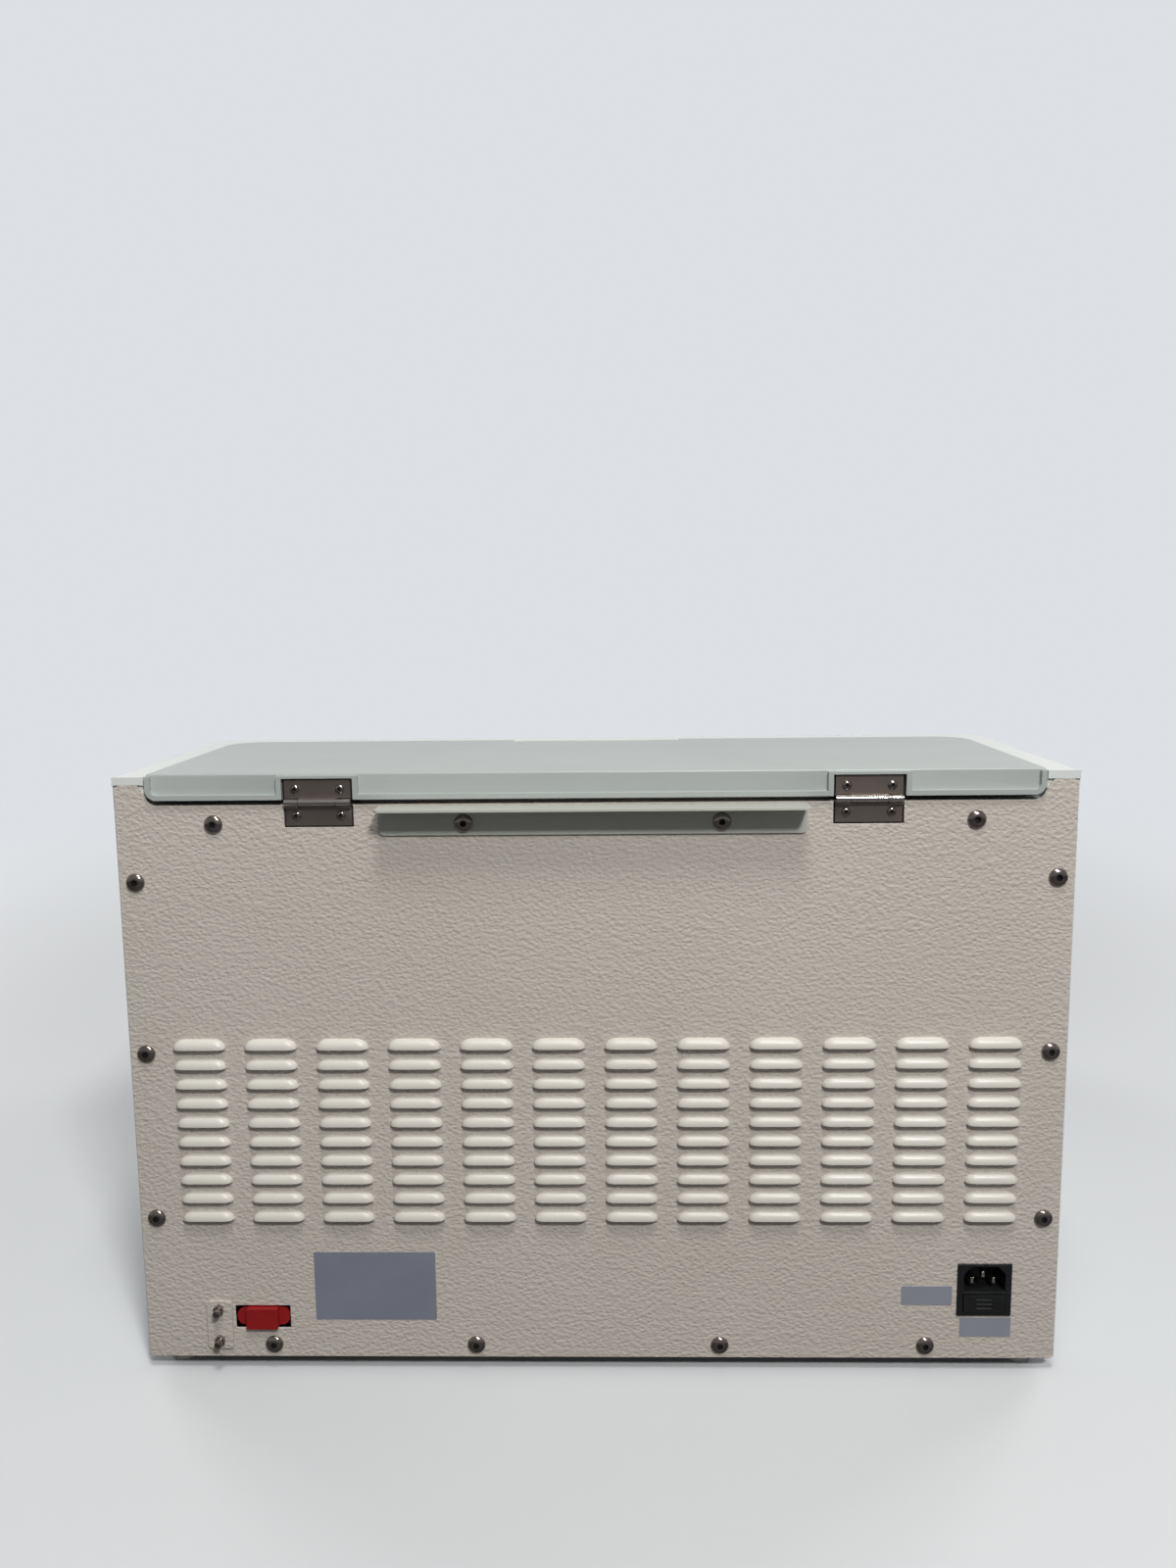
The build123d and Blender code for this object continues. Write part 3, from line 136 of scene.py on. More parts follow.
@dataclass(frozen=True)
class Finish:
    """One surface finish: its colour, gloss and grain."""

    name: str
    colour: str
    shade: str
    roughness: float
    grain: Grain = Grain.PLAIN
    metallic: float = 0.0
    ior: float = 1.5
    grain_mm: float = 1.0
    depth_mm: float = 0.02
    mottle_mm: float = 60.0
    coat: float = 0.0

    def material(self) -> bpy.types.Material:
        """The finish as a material, made once."""
        known = bpy.data.materials.get(self.name)
        return known or self._make()

    def _make(self) -> bpy.types.Material:
        """Builds the node tree: mottled colour, varied gloss and a fine grain.

        Returns:
            The new material.
        """
        material = bpy.data.materials.new(self.name)
        material.use_nodes = True
        tree = material.node_tree
        tree.nodes.clear()
        place = add(tree, "ShaderNodeTexCoord").outputs["Object"]
        mottle = add(tree, "ShaderNodeTexNoise", inputs={
            "Vector": place, "Scale": 1.0 / mm(self.mottle_mm), "Detail": 4.0, "Roughness": 0.55})
        spread = add(tree, "ShaderNodeMapRange", inputs={
            "Value": mottle.outputs["Fac"], "From Min": 0.35, "From Max": 0.65})
        tint = add(tree, "ShaderNodeMix", {"data_type": "RGBA"}, {
            0: spread.outputs["Result"], 6: linear(self.colour), 7: linear(self.shade)})
        gloss = add(tree, "ShaderNodeMapRange", inputs={
            "Value": mottle.outputs["Fac"], "From Min": 0.3, "From Max": 0.7,
            "To Min": self.roughness * 0.88, "To Max": min(1.0, self.roughness * 1.12)})
        shader = add(tree, "ShaderNodeBsdfPrincipled", inputs={
            "Base Color": tint.outputs[2], "Roughness": gloss.outputs["Result"],
            "Metallic": self.metallic, "IOR": self.ior, "Coat Weight": self.coat,
            "Coat Roughness": 0.15})
        height = self._height(tree, place)
        if height is not None:
            bump = add(tree, "ShaderNodeBump", inputs={
                "Height": height, "Strength": 1.0, "Distance": mm(self.depth_mm)})
            tree.links.new(bump.outputs["Normal"], shader.inputs["Normal"])
        add(tree, "ShaderNodeOutputMaterial", inputs={"Surface": shader.outputs["BSDF"]})
        return material

    def _height(self, tree: bpy.types.NodeTree, place: bpy.types.NodeSocket) -> bpy.types.NodeSocket | None:
        """The relief of the grain, from 0 to 1.

        Args:
            tree: the material's tree.
            place: the Object coordinates.

        Returns:
            The socket with the height, or None for a plain surface.
        """
        if self.grain is Grain.PLAIN:
            return None
        if self.grain is Grain.WRINKLE:
            return self._wrinkle(tree, place)
        scale = 1.0 / mm(self.grain_mm)
        stretch = {Grain.BRUSHED_X: (0.02, 1.0, 1.0), Grain.BRUSHED_Z: (1.0, 1.0, 0.02)}
        if self.grain in stretch:
            drawn = add(tree, "ShaderNodeMapping", inputs={"Vector": place, "Scale": stretch[self.grain]})
            lines = add(tree, "ShaderNodeTexNoise", inputs={
                "Vector": drawn.outputs["Vector"], "Scale": scale, "Detail": 3.0})
            return lines.outputs["Fac"]
        detail = {Grain.PEEL: 1.0, Grain.MOULDED: 2.0, Grain.TUMBLED: 5.0, Grain.BLASTED: 3.0}
        noise = add(tree, "ShaderNodeTexNoise", inputs={
            "Vector": place, "Scale": scale, "Detail": detail[self.grain], "Roughness": 0.6})
        return noise.outputs["Fac"]

    def _wrinkle(self, tree: bpy.types.NodeTree, place: bpy.types.NodeSocket) -> bpy.types.NodeSocket:
        """Bent cells, a little longer than high, under a finer ripple.

        Args:
            tree: the material's tree.
            place: the Object coordinates.

        Returns:
            The socket with the height.
        """
        scale = 1.0 / mm(self.grain_mm)
        longer = add(tree, "ShaderNodeMapping", inputs={"Vector": place, "Scale": (0.7, 1.0, 1.0)})
        laid = longer.outputs["Vector"]
        bend = add(tree, "ShaderNodeTexNoise", inputs={
            "Vector": laid, "Scale": scale * 0.7, "Detail": 2.0})
        shift = add(tree, "ShaderNodeVectorMath", {"operation": "MULTIPLY_ADD"}, {
            0: bend.outputs["Color"], 1: (mm(self.grain_mm),) * 3, 2: laid})
        cells = add(tree, "ShaderNodeTexVoronoi", {"feature": "SMOOTH_F1"}, {
            "Vector": shift.outputs[0], "Scale": scale, "Smoothness": 0.6})
        fine = add(tree, "ShaderNodeTexNoise", inputs={
            "Vector": place, "Scale": scale * 2.2, "Detail": 2.0})
        both = add(tree, "ShaderNodeMath", {"operation": "MULTIPLY_ADD"}, {
            0: fine.outputs["Fac"], 1: 0.4, 2: cells.outputs["Distance"]})
        return both.outputs[0]


# Grains of moulded, brushed, tumbled and blasted surfaces are really finer than the render can show, so
# they are drawn as coarse as they need to show.

# Wrinkle powder coat on sheet steel: a leathery relief of cells about 2 mm high and 3 mm long, half matt.
CREAM_WRINKLE = Finish("cream_wrinkle_powder_coat", "#CFC7BC", "#CAC2B6", 0.50, Grain.WRINKLE,
                       grain_mm=2.1, depth_mm=0.5, mottle_mm=160.0)
# The pressed louvres carry the same coat, stretched smoother over their crowns. Their colour is painted
# lighter than the sheet's: painted light, standing in for the lamps' light on the crowns that face up.
CREAM_LOUVRE_LIT = Finish("cream_louvre_powder_coat", "#DEDACF", "#D8D3C7", 0.36, Grain.PEEL,
                      grain_mm=2.5, depth_mm=0.08, mottle_mm=160.0)
# Smooth white powder coat: soft gloss with a faint orange peel.
WHITE_COAT = Finish("white_smooth_powder_coat", "#E4E7E2", "#DFE2DD", 0.38, Grain.PEEL,
                    grain_mm=3.0, depth_mm=0.03, mottle_mm=200.0)
# Injection-moulded ABS in a pale grey-green: satin, with a very fine spark-eroded grain.
LID_ABS = Finish("grey_green_moulded_abs", "#B3B8B4", "#AEB3AF", 0.38, Grain.MOULDED,
                 grain_mm=1.2, depth_mm=0.02, mottle_mm=200.0)
# The stop is folded steel, painted to the lid's colour.
STOP_PAINT = Finish("grey_green_satin_paint", "#C6C8BE", "#C1C3B9", 0.40, Grain.PEEL,
                    grain_mm=2.5, depth_mm=0.03, mottle_mm=120.0)
# Stainless sheet, brushed along its length: streaks that spread the highlights.
STAINLESS = Finish("brushed_stainless_sheet", "#B4B1AC", "#A29F9A", 0.32, Grain.BRUSHED_X,
                   metallic=1.0, grain_mm=0.5, depth_mm=0.02, mottle_mm=25.0)
# Deep-drawn stainless, drawn lines running up its walls: brighter than the brushed sheet.
DEEP_DRAWN = Finish("deep_drawn_stainless", "#BDBCB8", "#AFAEAA", 0.24, Grain.BRUSHED_Z,
                    metallic=1.0, grain_mm=0.8, depth_mm=0.01, mottle_mm=50.0)
# Cast and tumbled stainless leaves, browner and darker than the sheet.
HINGE_STEEL = Finish("tumbled_stainless_hinge", "#8C827B", "#837972", 0.50, Grain.TUMBLED,
                     metallic=1.0, grain_mm=1.2, depth_mm=0.004, mottle_mm=12.0)
# The rolled knuckles, polished by their own turning.
KNUCKLE_STEEL = Finish("polished_stainless_knuckle", "#CFC9C4", "#C6C0BB", 0.16, metallic=1.0)
# Tumbled stainless screws. The dark in the sockets of the set heads is painted shade: a dark disc in each
# socket.
SCREW_STEEL = Finish("tumbled_stainless_screw", "#A39A93", "#8C837C", 0.20, Grain.TUMBLED,
                     metallic=1.0, grain_mm=1.5, depth_mm=0.01, mottle_mm=6.0)
# Anodised aluminium, bead blasted first: pale, even and half matt.
ANODISED = Finish("anodised_blasted_aluminium", "#C3C5C6", "#B9BBBD", 0.42, Grain.BLASTED,
                  metallic=1.0, grain_mm=0.7, depth_mm=0.02)
# Glass-filled nylon, moulded: near black, half matt.
BLACK_NYLON = Finish("black_moulded_nylon", "#121314", "#191A1B", 0.45, Grain.MOULDED,
                     grain_mm=0.9, depth_mm=0.03, mottle_mm=15.0)
# Soft PVC, moulded: deep red with a broad highlight.
RED_PLASTIC = Finish("red_soft_pvc", "#9E1818", "#921414", 0.42, Grain.MOULDED,
                     grain_mm=1.4, depth_mm=0.03, mottle_mm=12.0)
# Silicone feet, slightly translucent: a soft milky white.
FOOT_RUBBER = Finish("milky_silicone_rubber", "#DCDCD6", "#D2D2CC", 0.55, Grain.MOULDED,
                     grain_mm=1.5, depth_mm=0.03, mottle_mm=10.0)
# Silicone, moulded: matt red-brown.
SEAL_RUBBER = Finish("red_brown_silicone_seal", "#A9553C", "#9D4C35", 0.6, Grain.MOULDED, grain_mm=1.0)
# Polycarbonate, moulded: white and fairly glossy.
WHITE_PLASTIC = Finish("white_moulded_polycarbonate", "#E6E6E1", "#DEDED9", 0.3, Grain.MOULDED,
                       grain_mm=1.0, depth_mm=0.01)
# ABS keycaps, moulded: pale grey, satin.
KEY_PLASTIC = Finish("pale_grey_keycap", "#C9CDCC", "#C2C6C5", 0.35, Grain.MOULDED, grain_mm=0.8)
# Glass over an unlit display: nearly black, with a clear gloss.
DISPLAY_GLASS = Finish("dark_display_glass", "#0B1016", "#0D131A", 0.06, coat=1.0, mottle_mm=30.0)
# Polyester label foil, printed silver grey: flat and slightly glossy.
LABEL_FOIL = Finish("silver_label_foil", "#878B99", "#828694", 0.36, Grain.MOULDED,
                    grain_mm=0.6, depth_mm=0.004, mottle_mm=30.0)
# The same foil in a paler grey.
PALE_LABEL = Finish("pale_label_foil", "#9698A4", "#91939F", 0.4, Grain.MOULDED,
                    grain_mm=0.6, depth_mm=0.004, mottle_mm=30.0)
# Closed-cell foam, cut: black and quite matt.
FOAM = Finish("black_closed_cell_foam", "#2B2B2C", "#232324", 0.9, Grain.MOULDED, grain_mm=1.5, depth_mm=0.2)
# Brass, tinned and tumbled: a warm, bright metal.
TINNED_BRASS = Finish("tinned_brass_contact", "#C9C2AE", "#BDB6A2", 0.25, Grain.TUMBLED, metallic=1.0)
# Glazed ceramic: off-white with a soft gloss.
FUSE_CERAMIC = Finish("ceramic_fuse_body", "#D9D4C8", "#D0CBBF", 0.3)
# Glass-fibre board under green solder resist: satin and faintly uneven.
BOARD = Finish("green_circuit_board", "#1D5A33", "#1A5230", 0.4, Grain.MOULDED, grain_mm=2.0)
# No real surface: the dark at the bottom of a gap or a socket, which no light reaches.
DARK_VOID = Finish("unlit_inside", "#0C0C0C", "#0A0A0A", 0.9)


@dataclass(frozen=True)
class Span:
    """The box of a CAD node at rest, in metres."""

    low: Vector
    high: Vector

    @classmethod
    def of(cls, node: str) -> "Span":
        """Reads a node's box from the frame."""
        low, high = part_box(node)
        return cls(Vector(low), Vector(high))

    @property
    def middle(self) -> Vector:
        """The centre of the box."""
        return (self.low + self.high) / 2


class Workshop:
    """Makes, refines and seats pieces."""

    weld: float = mm(0.005)
    flat_deg: float = 0.5
    edge_deg: float = 40.0

    def __init__(self, frame: dict) -> None:
        """Keeps the frame, and each node's body and material slot.
        """
        self.frame = frame
        bodies = frame["record"]["behaviour"]["bodies"]
        self.body_of = {node: body for body, nodes in bodies.items() for node in nodes}
        slots = frame["record"]["subparts"]
        self.slot_of = {part["node"]: part["material_slot"] for part in slots}

    def piece(self, name: str, mesh: bpy.types.Mesh, finish: Finish,
              smooth_deg: float = 35.0) -> bpy.types.Object:
        """Links a mesh as an object with one finish.

        Args:
            name: the piece's name.
            mesh: its mesh, in place.
            finish: its material.
            smooth_deg: edges sharper than this stay sharp.

        Returns:
            The new object.
        """
        item = bpy.data.objects.new(name, mesh)
        bpy.context.scene.collection.objects.link(item)
        mesh.materials.clear()
        mesh.materials.append(finish.material())
        mesh.shade_smooth()
        mesh.set_sharp_from_angle(angle=math.radians(smooth_deg))
        return item

    def seat(self, item: bpy.types.Object, node: str, replaces: bool = True) -> None:
        """Lets a piece ride on a node's body.

        Args:
            item: the piece.
            node: the CAD node it belongs to.
            replaces: whether it stands for that node.
        """
        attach(item, self.body_of[node])
        if replaces:
            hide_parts(node)
        log.info("%s rides on %s", item.name, self.body_of[node])

    def refine(self, node: str, finish: Finish, edge_mm: float = 0.5, segments: int = 2,
               smooth_deg: float = 35.0) -> bpy.types.Object:
        """Rebuilds a CAD node with merged faces, broken edges and smooth curves.

        Args:
            node: the CAD node that the piece stands for.
            finish: its material.
            edge_mm: width of the broken edges.
            segments: steps across a broken edge.
            smooth_deg: edges sharper than this stay sharp.

        Returns:
            The new object.
        """
        mesh = self.frame["nodes"][node].data.copy()
        form = bmesh.new()
        form.from_mesh(mesh)
        bmesh.ops.remove_doubles(form, verts=form.verts, dist=self.weld)
        bmesh.ops.dissolve_limit(form, angle_limit=math.radians(self.flat_deg), verts=form.verts,
                                 edges=form.edges)
        form.to_mesh(mesh)
        form.free()
        item = self.piece(node + "_form", mesh, finish, smooth_deg)
        if edge_mm > 0:
            bevel = item.modifiers.new("broken_edges", "BEVEL")
            bevel.width = mm(edge_mm)
            bevel.segments = segments
            bevel.limit_method = "ANGLE"
            bevel.angle_limit = math.radians(self.edge_deg)
            bevel.harden_normals = True
        self.seat(item, node)
        return item


def mesh_of(form: bmesh.types.BMesh, name: str) -> bpy.types.Mesh:
    """Turns a bmesh into a mesh and frees it.

    Args:
        form: the bmesh.
        name: the mesh's name.

    Returns:
        The mesh.
    """
    mesh = bpy.data.meshes.new(name)
    form.to_mesh(mesh)
    form.free()
    return mesh


def plate_mesh(name: str, outline: list[tuple[float, float]], holes: list[list[tuple[float, float]]],
               front: float, thickness: float, edge: float = 0.0) -> bpy.types.Mesh:
    """A flat plate in the XZ plane with holes, its outer face towards +Y.

    Args:
        name: the mesh's name.
        outline: corners as x and z, in order.
        holes: outlines of the holes.
        front: y of the outer face.
        thickness: how far the plate goes back from it.
        edge: width of its broken edges.

    Returns:
        The mesh, in place.
    """
    curve = bpy.data.curves.new(name, "CURVE")
    curve.dimensions = "2D"
    curve.fill_mode = "BOTH"
    curve.extrude = thickness / 2 - edge
    curve.bevel_depth = edge
    curve.bevel_resolution = 1
    curve.offset = -edge
    for loop in [outline] + holes:
        spline = curve.splines.new("POLY")
        spline.points.add(len(loop) - 1)
        for point, (x, z) in zip(spline.points, loop):
            point.co = (-x, z, 0.0, 1.0)
        spline.use_cyclic_u = True
    holder = bpy.data.objects.new(name, curve)
    bpy.context.scene.collection.objects.link(holder)
    mesh = bpy.data.meshes.new_from_object(holder)
    bpy.data.objects.remove(holder)
    # The curve lies mirrored in XY. This stands it up with its outer face towards +Y.
    stand = Matrix.Translation((0.0, front - thickness / 2, 0.0)) @ Matrix(
        ((-1, 0, 0, 0), (0, 0, 1, 0), (0, 1, 0, 0), (0, 0, 0, 1)))
    mesh.transform(stand)
    form = bmesh.new()
    form.from_mesh(mesh)
    bmesh.ops.remove_doubles(form, verts=form.verts, dist=PLATE_WELD)
    bmesh.ops.recalc_face_normals(form, faces=form.faces)
    form.to_mesh(mesh)
    form.free()
    return mesh


def arc(x: float, z: float, radius: float, turns: Iterable[float]) -> list[tuple[float, float]]:
    """Points of a circle about x and z.

    Args:
        x: the centre's x.
        z: the centre's z.
        radius: the circle's radius.
        turns: where the points lie, in degrees from +X towards +Z.

    Returns:
        The points as x and z, one for each turn.
    """
    angles = [math.radians(turn) for turn in turns]
    return [(x + radius * math.cos(a), z + radius * math.sin(a)) for a in angles]


def rounded_box(x0: float, x1: float, z0: float, z1: float, radius: float,
                steps: int = 5) -> list[tuple[float, float]]:
    """The outline of a rectangle with rounded corners.

    Args:
        x0: its lowest x.
        x1: its highest x.
        z0: its lowest z.
        z1: its highest z.
        radius: radius of the corners.
        steps: steps round each corner.

    Returns:
        Points as x and z, in order.
    """
    points = []
    corners = ((x1 - radius, z1 - radius, 0), (x0 + radius, z1 - radius, 90),
               (x0 + radius, z0 + radius, 180), (x1 - radius, z0 + radius, 270))
    for x, z, start in corners:
        points += arc(x, z, radius, [start + 90 * step / steps for step in range(steps + 1)])
    return points


def copies_at(source: bpy.types.Object, spots: bpy.types.Object, finish: Finish, name: str,
              spin: float = 0.0, seed: int = 4) -> bpy.types.Mesh:
    """Copies of a shape on every point of another, made by Geometry Nodes.

    Args:
        source: the shape, at the origin.
        spots: an object whose vertices are the places.
        finish: the copies' material.
        name: the tree's name.
        spin: largest random turn about Y, in radians.
        seed: seed of the random turns.

    Returns:
        A plain mesh with all the copies.
    """
    tree = bpy.data.node_groups.new(name, "GeometryNodeTree")
    tree.interface.new_socket("Geometry", in_out="INPUT", socket_type="NodeSocketGeometry")
    shape = tree.interface.new_socket("Shape", in_out="INPUT", socket_type="NodeSocketObject")
    turn = tree.interface.new_socket("Largest turn", in_out="INPUT", socket_type="NodeSocketFloat")
    tree.interface.new_socket("Geometry", in_out="OUTPUT", socket_type="NodeSocketGeometry")
    entry = add(tree, "NodeGroupInput")
    info = add(tree, "GeometryNodeObjectInfo", inputs={"Object": entry.outputs["Shape"]})
    chance = add(tree, "FunctionNodeRandomValue", {"data_type": "FLOAT"}, {
        3: entry.outputs["Largest turn"], "Seed": seed})
    axis = add(tree, "ShaderNodeCombineXYZ", inputs={"Y": chance.outputs[1]})
    placed = add(tree, "GeometryNodeInstanceOnPoints", inputs={
        "Points": entry.outputs["Geometry"], "Instance": info.outputs["Geometry"],
        "Rotation": axis.outputs[0]})
    real = add(tree, "GeometryNodeRealizeInstances", inputs={"Geometry": placed.outputs[0]})
    dressed = add(tree, "GeometryNodeSetMaterial", inputs={
        "Geometry": real.outputs[0], "Material": finish.material()})
    add(tree, "NodeGroupOutput", inputs={"Geometry": dressed.outputs[0]})
    worker = spots.modifiers.new(name, "NODES")
    worker.node_group = tree
    worker[shape.identifier] = source
    worker[turn.identifier] = spin
    ready = spots.evaluated_get(bpy.context.evaluated_depsgraph_get())
    mesh = bpy.data.meshes.new_from_object(ready)
    spots.modifiers.remove(worker)
    for scaffold in (source, spots):
        bpy.data.objects.remove(scaffold)
    return mesh


def loose(name: str, mesh: bpy.types.Mesh) -> bpy.types.Object:
    """Links a mesh as a scaffold that a Geometry Nodes tree reads.

    Args:
        name: the scaffold's name.
        mesh: its mesh.

    Returns:
        The new object.
    """
    item = bpy.data.objects.new(name, mesh)
    bpy.context.scene.collection.objects.link(item)
    return item


def points_object(name: str, places: list[tuple[float, float, float]]) -> bpy.types.Object:
    """An object that is only the given points.

    Args:
        name: the object's name.
        places: the points.

    Returns:
        The new object.
    """
    mesh = bpy.data.meshes.new(name)
    mesh.from_pydata(places, [], [])
    return loose(name, mesh)


@dataclass
class RearPanel:
    """The louvred panel: a coated sheet with pressed hoods over its slots."""

    shop: Workshop
    columns: int = 12
    rows: int = 10
    side_margin: float = mm(44.9)
    row_pitch: float = mm(12.92)
    first_row: float = mm(97.7)
    length: float = mm(33.8)
    reach: float = mm(4.6)
    rise: float = mm(6.2)
    lip: float = mm(1.0)
    end_run: float = mm(8.0)
    wall: float = mm(1.2)
    slot_height: float = mm(4.0)
    sheet: float = mm(1.5)
    corner: float = mm(3.0)
    sill_drop: float = mm(13.0)
    ear_wide: float = mm(282.0)
    ear_narrow: float = mm(277.0)
    ear_round: float = mm(7.0)
    leaf_width: float = mm(41.5)
    leaf_gap: float = mm(1.0)
    cap_gap: float = mm(0.9)
    opening_round: float = mm(0.6)
    slot_round: float = mm(1.5)
    slot_rise: float = mm(0.1)
    ear_top: float = mm(4.0)
    edge: float = mm(0.25)
    sink: float = mm(0.05)
    weld: float = mm(0.01)
    squareness: float = 2.6
    sheet_sharp: float = 15.0
    hood_sharp: float = 60.0

    def louvre_places(self) -> list[tuple[float, float]]:
        """Where the hoods go.

        Returns:
            The middle of each hood's lower edge, as x and z.
        """
        span = Span.of("rear_panel")
        pitch = 2 * (span.high.x - self.side_margin) / (self.columns - 1)
        start = -(self.columns - 1) / 2
        return [((start + c) * pitch, span.low.z + self.first_row + r * self.row_pitch)
                for c in range(self.columns) for r in range(self.rows)]

    def outer_face(self) -> float:
        """y of the sheet's outer face."""
        return Span.of("rear_panel").high.y - self.reach

    def outline(self) -> list[tuple[float, float]]:
        """The sheet's outline with its lowered sill under the lid.

        Returns:
            Points as x and z, in order.
        """
        span = Span.of("rear_panel")
        top, low, half = span.high.z, span.low.z, span.high.x
        sill = top - self.sill_drop
        right = arc(half - self.corner, low + self.corner, self.corner, (-90, -60, -30, 0))
        right += arc(half - self.ear_top, top - self.ear_top, self.ear_top, (0, 22, 45, 68, 90))
        right += arc(self.ear_wide + self.ear_top, top - self.ear_top, self.ear_top, (112, 135, 158))
        slope = math.atan2(self.sill_drop, self.ear_wide - self.ear_narrow)
        steps = 5
        turns = [math.degrees(slope) * (1 - step / steps) - 90 for step in range(steps + 1)]
        middle = self.ear_narrow - self.ear_round * math.tan(slope / 2)
        right += arc(middle, sill + self.ear_round, self.ear_round, turns)
        leaf = Span.of("hinge_leaves_frame")
        outer = leaf.high.x + self.leaf_gap
        inner = leaf.high.x - self.leaf_width - self.leaf_gap
        foot = leaf.low.z - self.leaf_gap
        right += [(outer, sill), (outer, foot), (inner, foot), (inner, sill)]
        return right + [(-x, z) for x, z in reversed(right)]

    def hood(self) -> bpy.types.Mesh:
        """One pressed hood: a crown with round ends, open below, with its inner face.

        Returns:
            The mesh, its lower edge's middle at the origin.
        """
        steps, rows = 6, 4
        ends = [math.cos(math.radians(90 * s / steps)) for s in range(steps + 1)]
        straight = self.length / 2 - self.end_run
        ribs = [(-straight - self.end_run * s, s) for s in ends]
        ribs += [(straight + self.end_run * s, s) for s in reversed(ends)]
        form = bmesh.new()

        def skin(shrink: float) -> list[list[bmesh.types.BMVert]]:
            """One face of the hood.

            Args:
                shrink: how far it lies inside the outer face.

            Returns:
                Its vertices, rib by rib.
            """
            grid = []
            for along, share in ribs:
                x = along * (1 - shrink / self.length * 2)
                squarish = max(0.0, 1 - share ** self.squareness) ** (1 / self.squareness)
                round_end = max(0.0, 1 - share ** 2) ** 0.5
                out = (self.reach - shrink) * squarish
                lip = self.lip * round_end
                crown = (self.rise - shrink - self.lip) * round_end
                line = [form.verts.new((x, out, 0.0))]
                for row in range(rows + 1):
                    turn = math.radians(90 * row / rows)
                    line.append(form.verts.new((x, out * math.cos(turn), lip + crown * math.sin(turn))))
                grid.append(line)
            return grid

        outer, inner = skin(0.0), skin(self.wall)
        for grid in (outer, inner):
            for a, b in zip(grid, grid[1:]):
                for i in range(rows + 1):
                    form.faces.new((a[i], b[i], b[i + 1], a[i + 1]))
        for a, b, c, d in zip(outer, outer[1:], inner, inner[1:]):
            form.faces.new((a[0], b[0], d[0], c[0]))
        bmesh.ops.remove_doubles(form, verts=form.verts, dist=self.weld)
        bmesh.ops.recalc_face_normals(form, faces=form.faces)
        return mesh_of(form, "louvre_hood")

    def build(self) -> None:
        """Makes the sheet with its slots, and the hoods."""
        face = self.outer_face()
        half = self.length / 2 - self.wall
        holes = [rounded_box(x - half, x + half, z + self.slot_rise, z + self.slot_height, self.slot_round, 2)
                 for x, z in self.louvre_places()]
        for node, gap in (("inlet_body", 0.0), ("dust_cap", self.cap_gap)):
            span = Span.of(node)
            holes.append(rounded_box(span.low.x - gap, span.high.x + gap, span.low.z - gap, span.high.z + gap,
                                     self.opening_round, 2))
        mesh = plate_mesh("rear_panel_sheet", self.outline(), holes, face, self.sheet, self.edge)
        sheet = self.shop.piece("rear_panel_sheet", mesh, CREAM_WRINKLE, self.sheet_sharp)
        self.shop.seat(sheet, "rear_panel")
        spots = points_object("louvre_spots", [(x, face - self.sink, z) for x, z in self.louvre_places()])
        # The hoods take the lighter louvre coat: painted light on their crowns.
        hoods = copies_at(loose("louvre_hood", self.hood()), spots, CREAM_LOUVRE_LIT, "louvre_hoods")
        louvres = self.shop.piece("rear_panel_louvres", hoods, CREAM_LOUVRE_LIT, self.hood_sharp)
        self.shop.seat(louvres, "rear_panel", replaces=False)


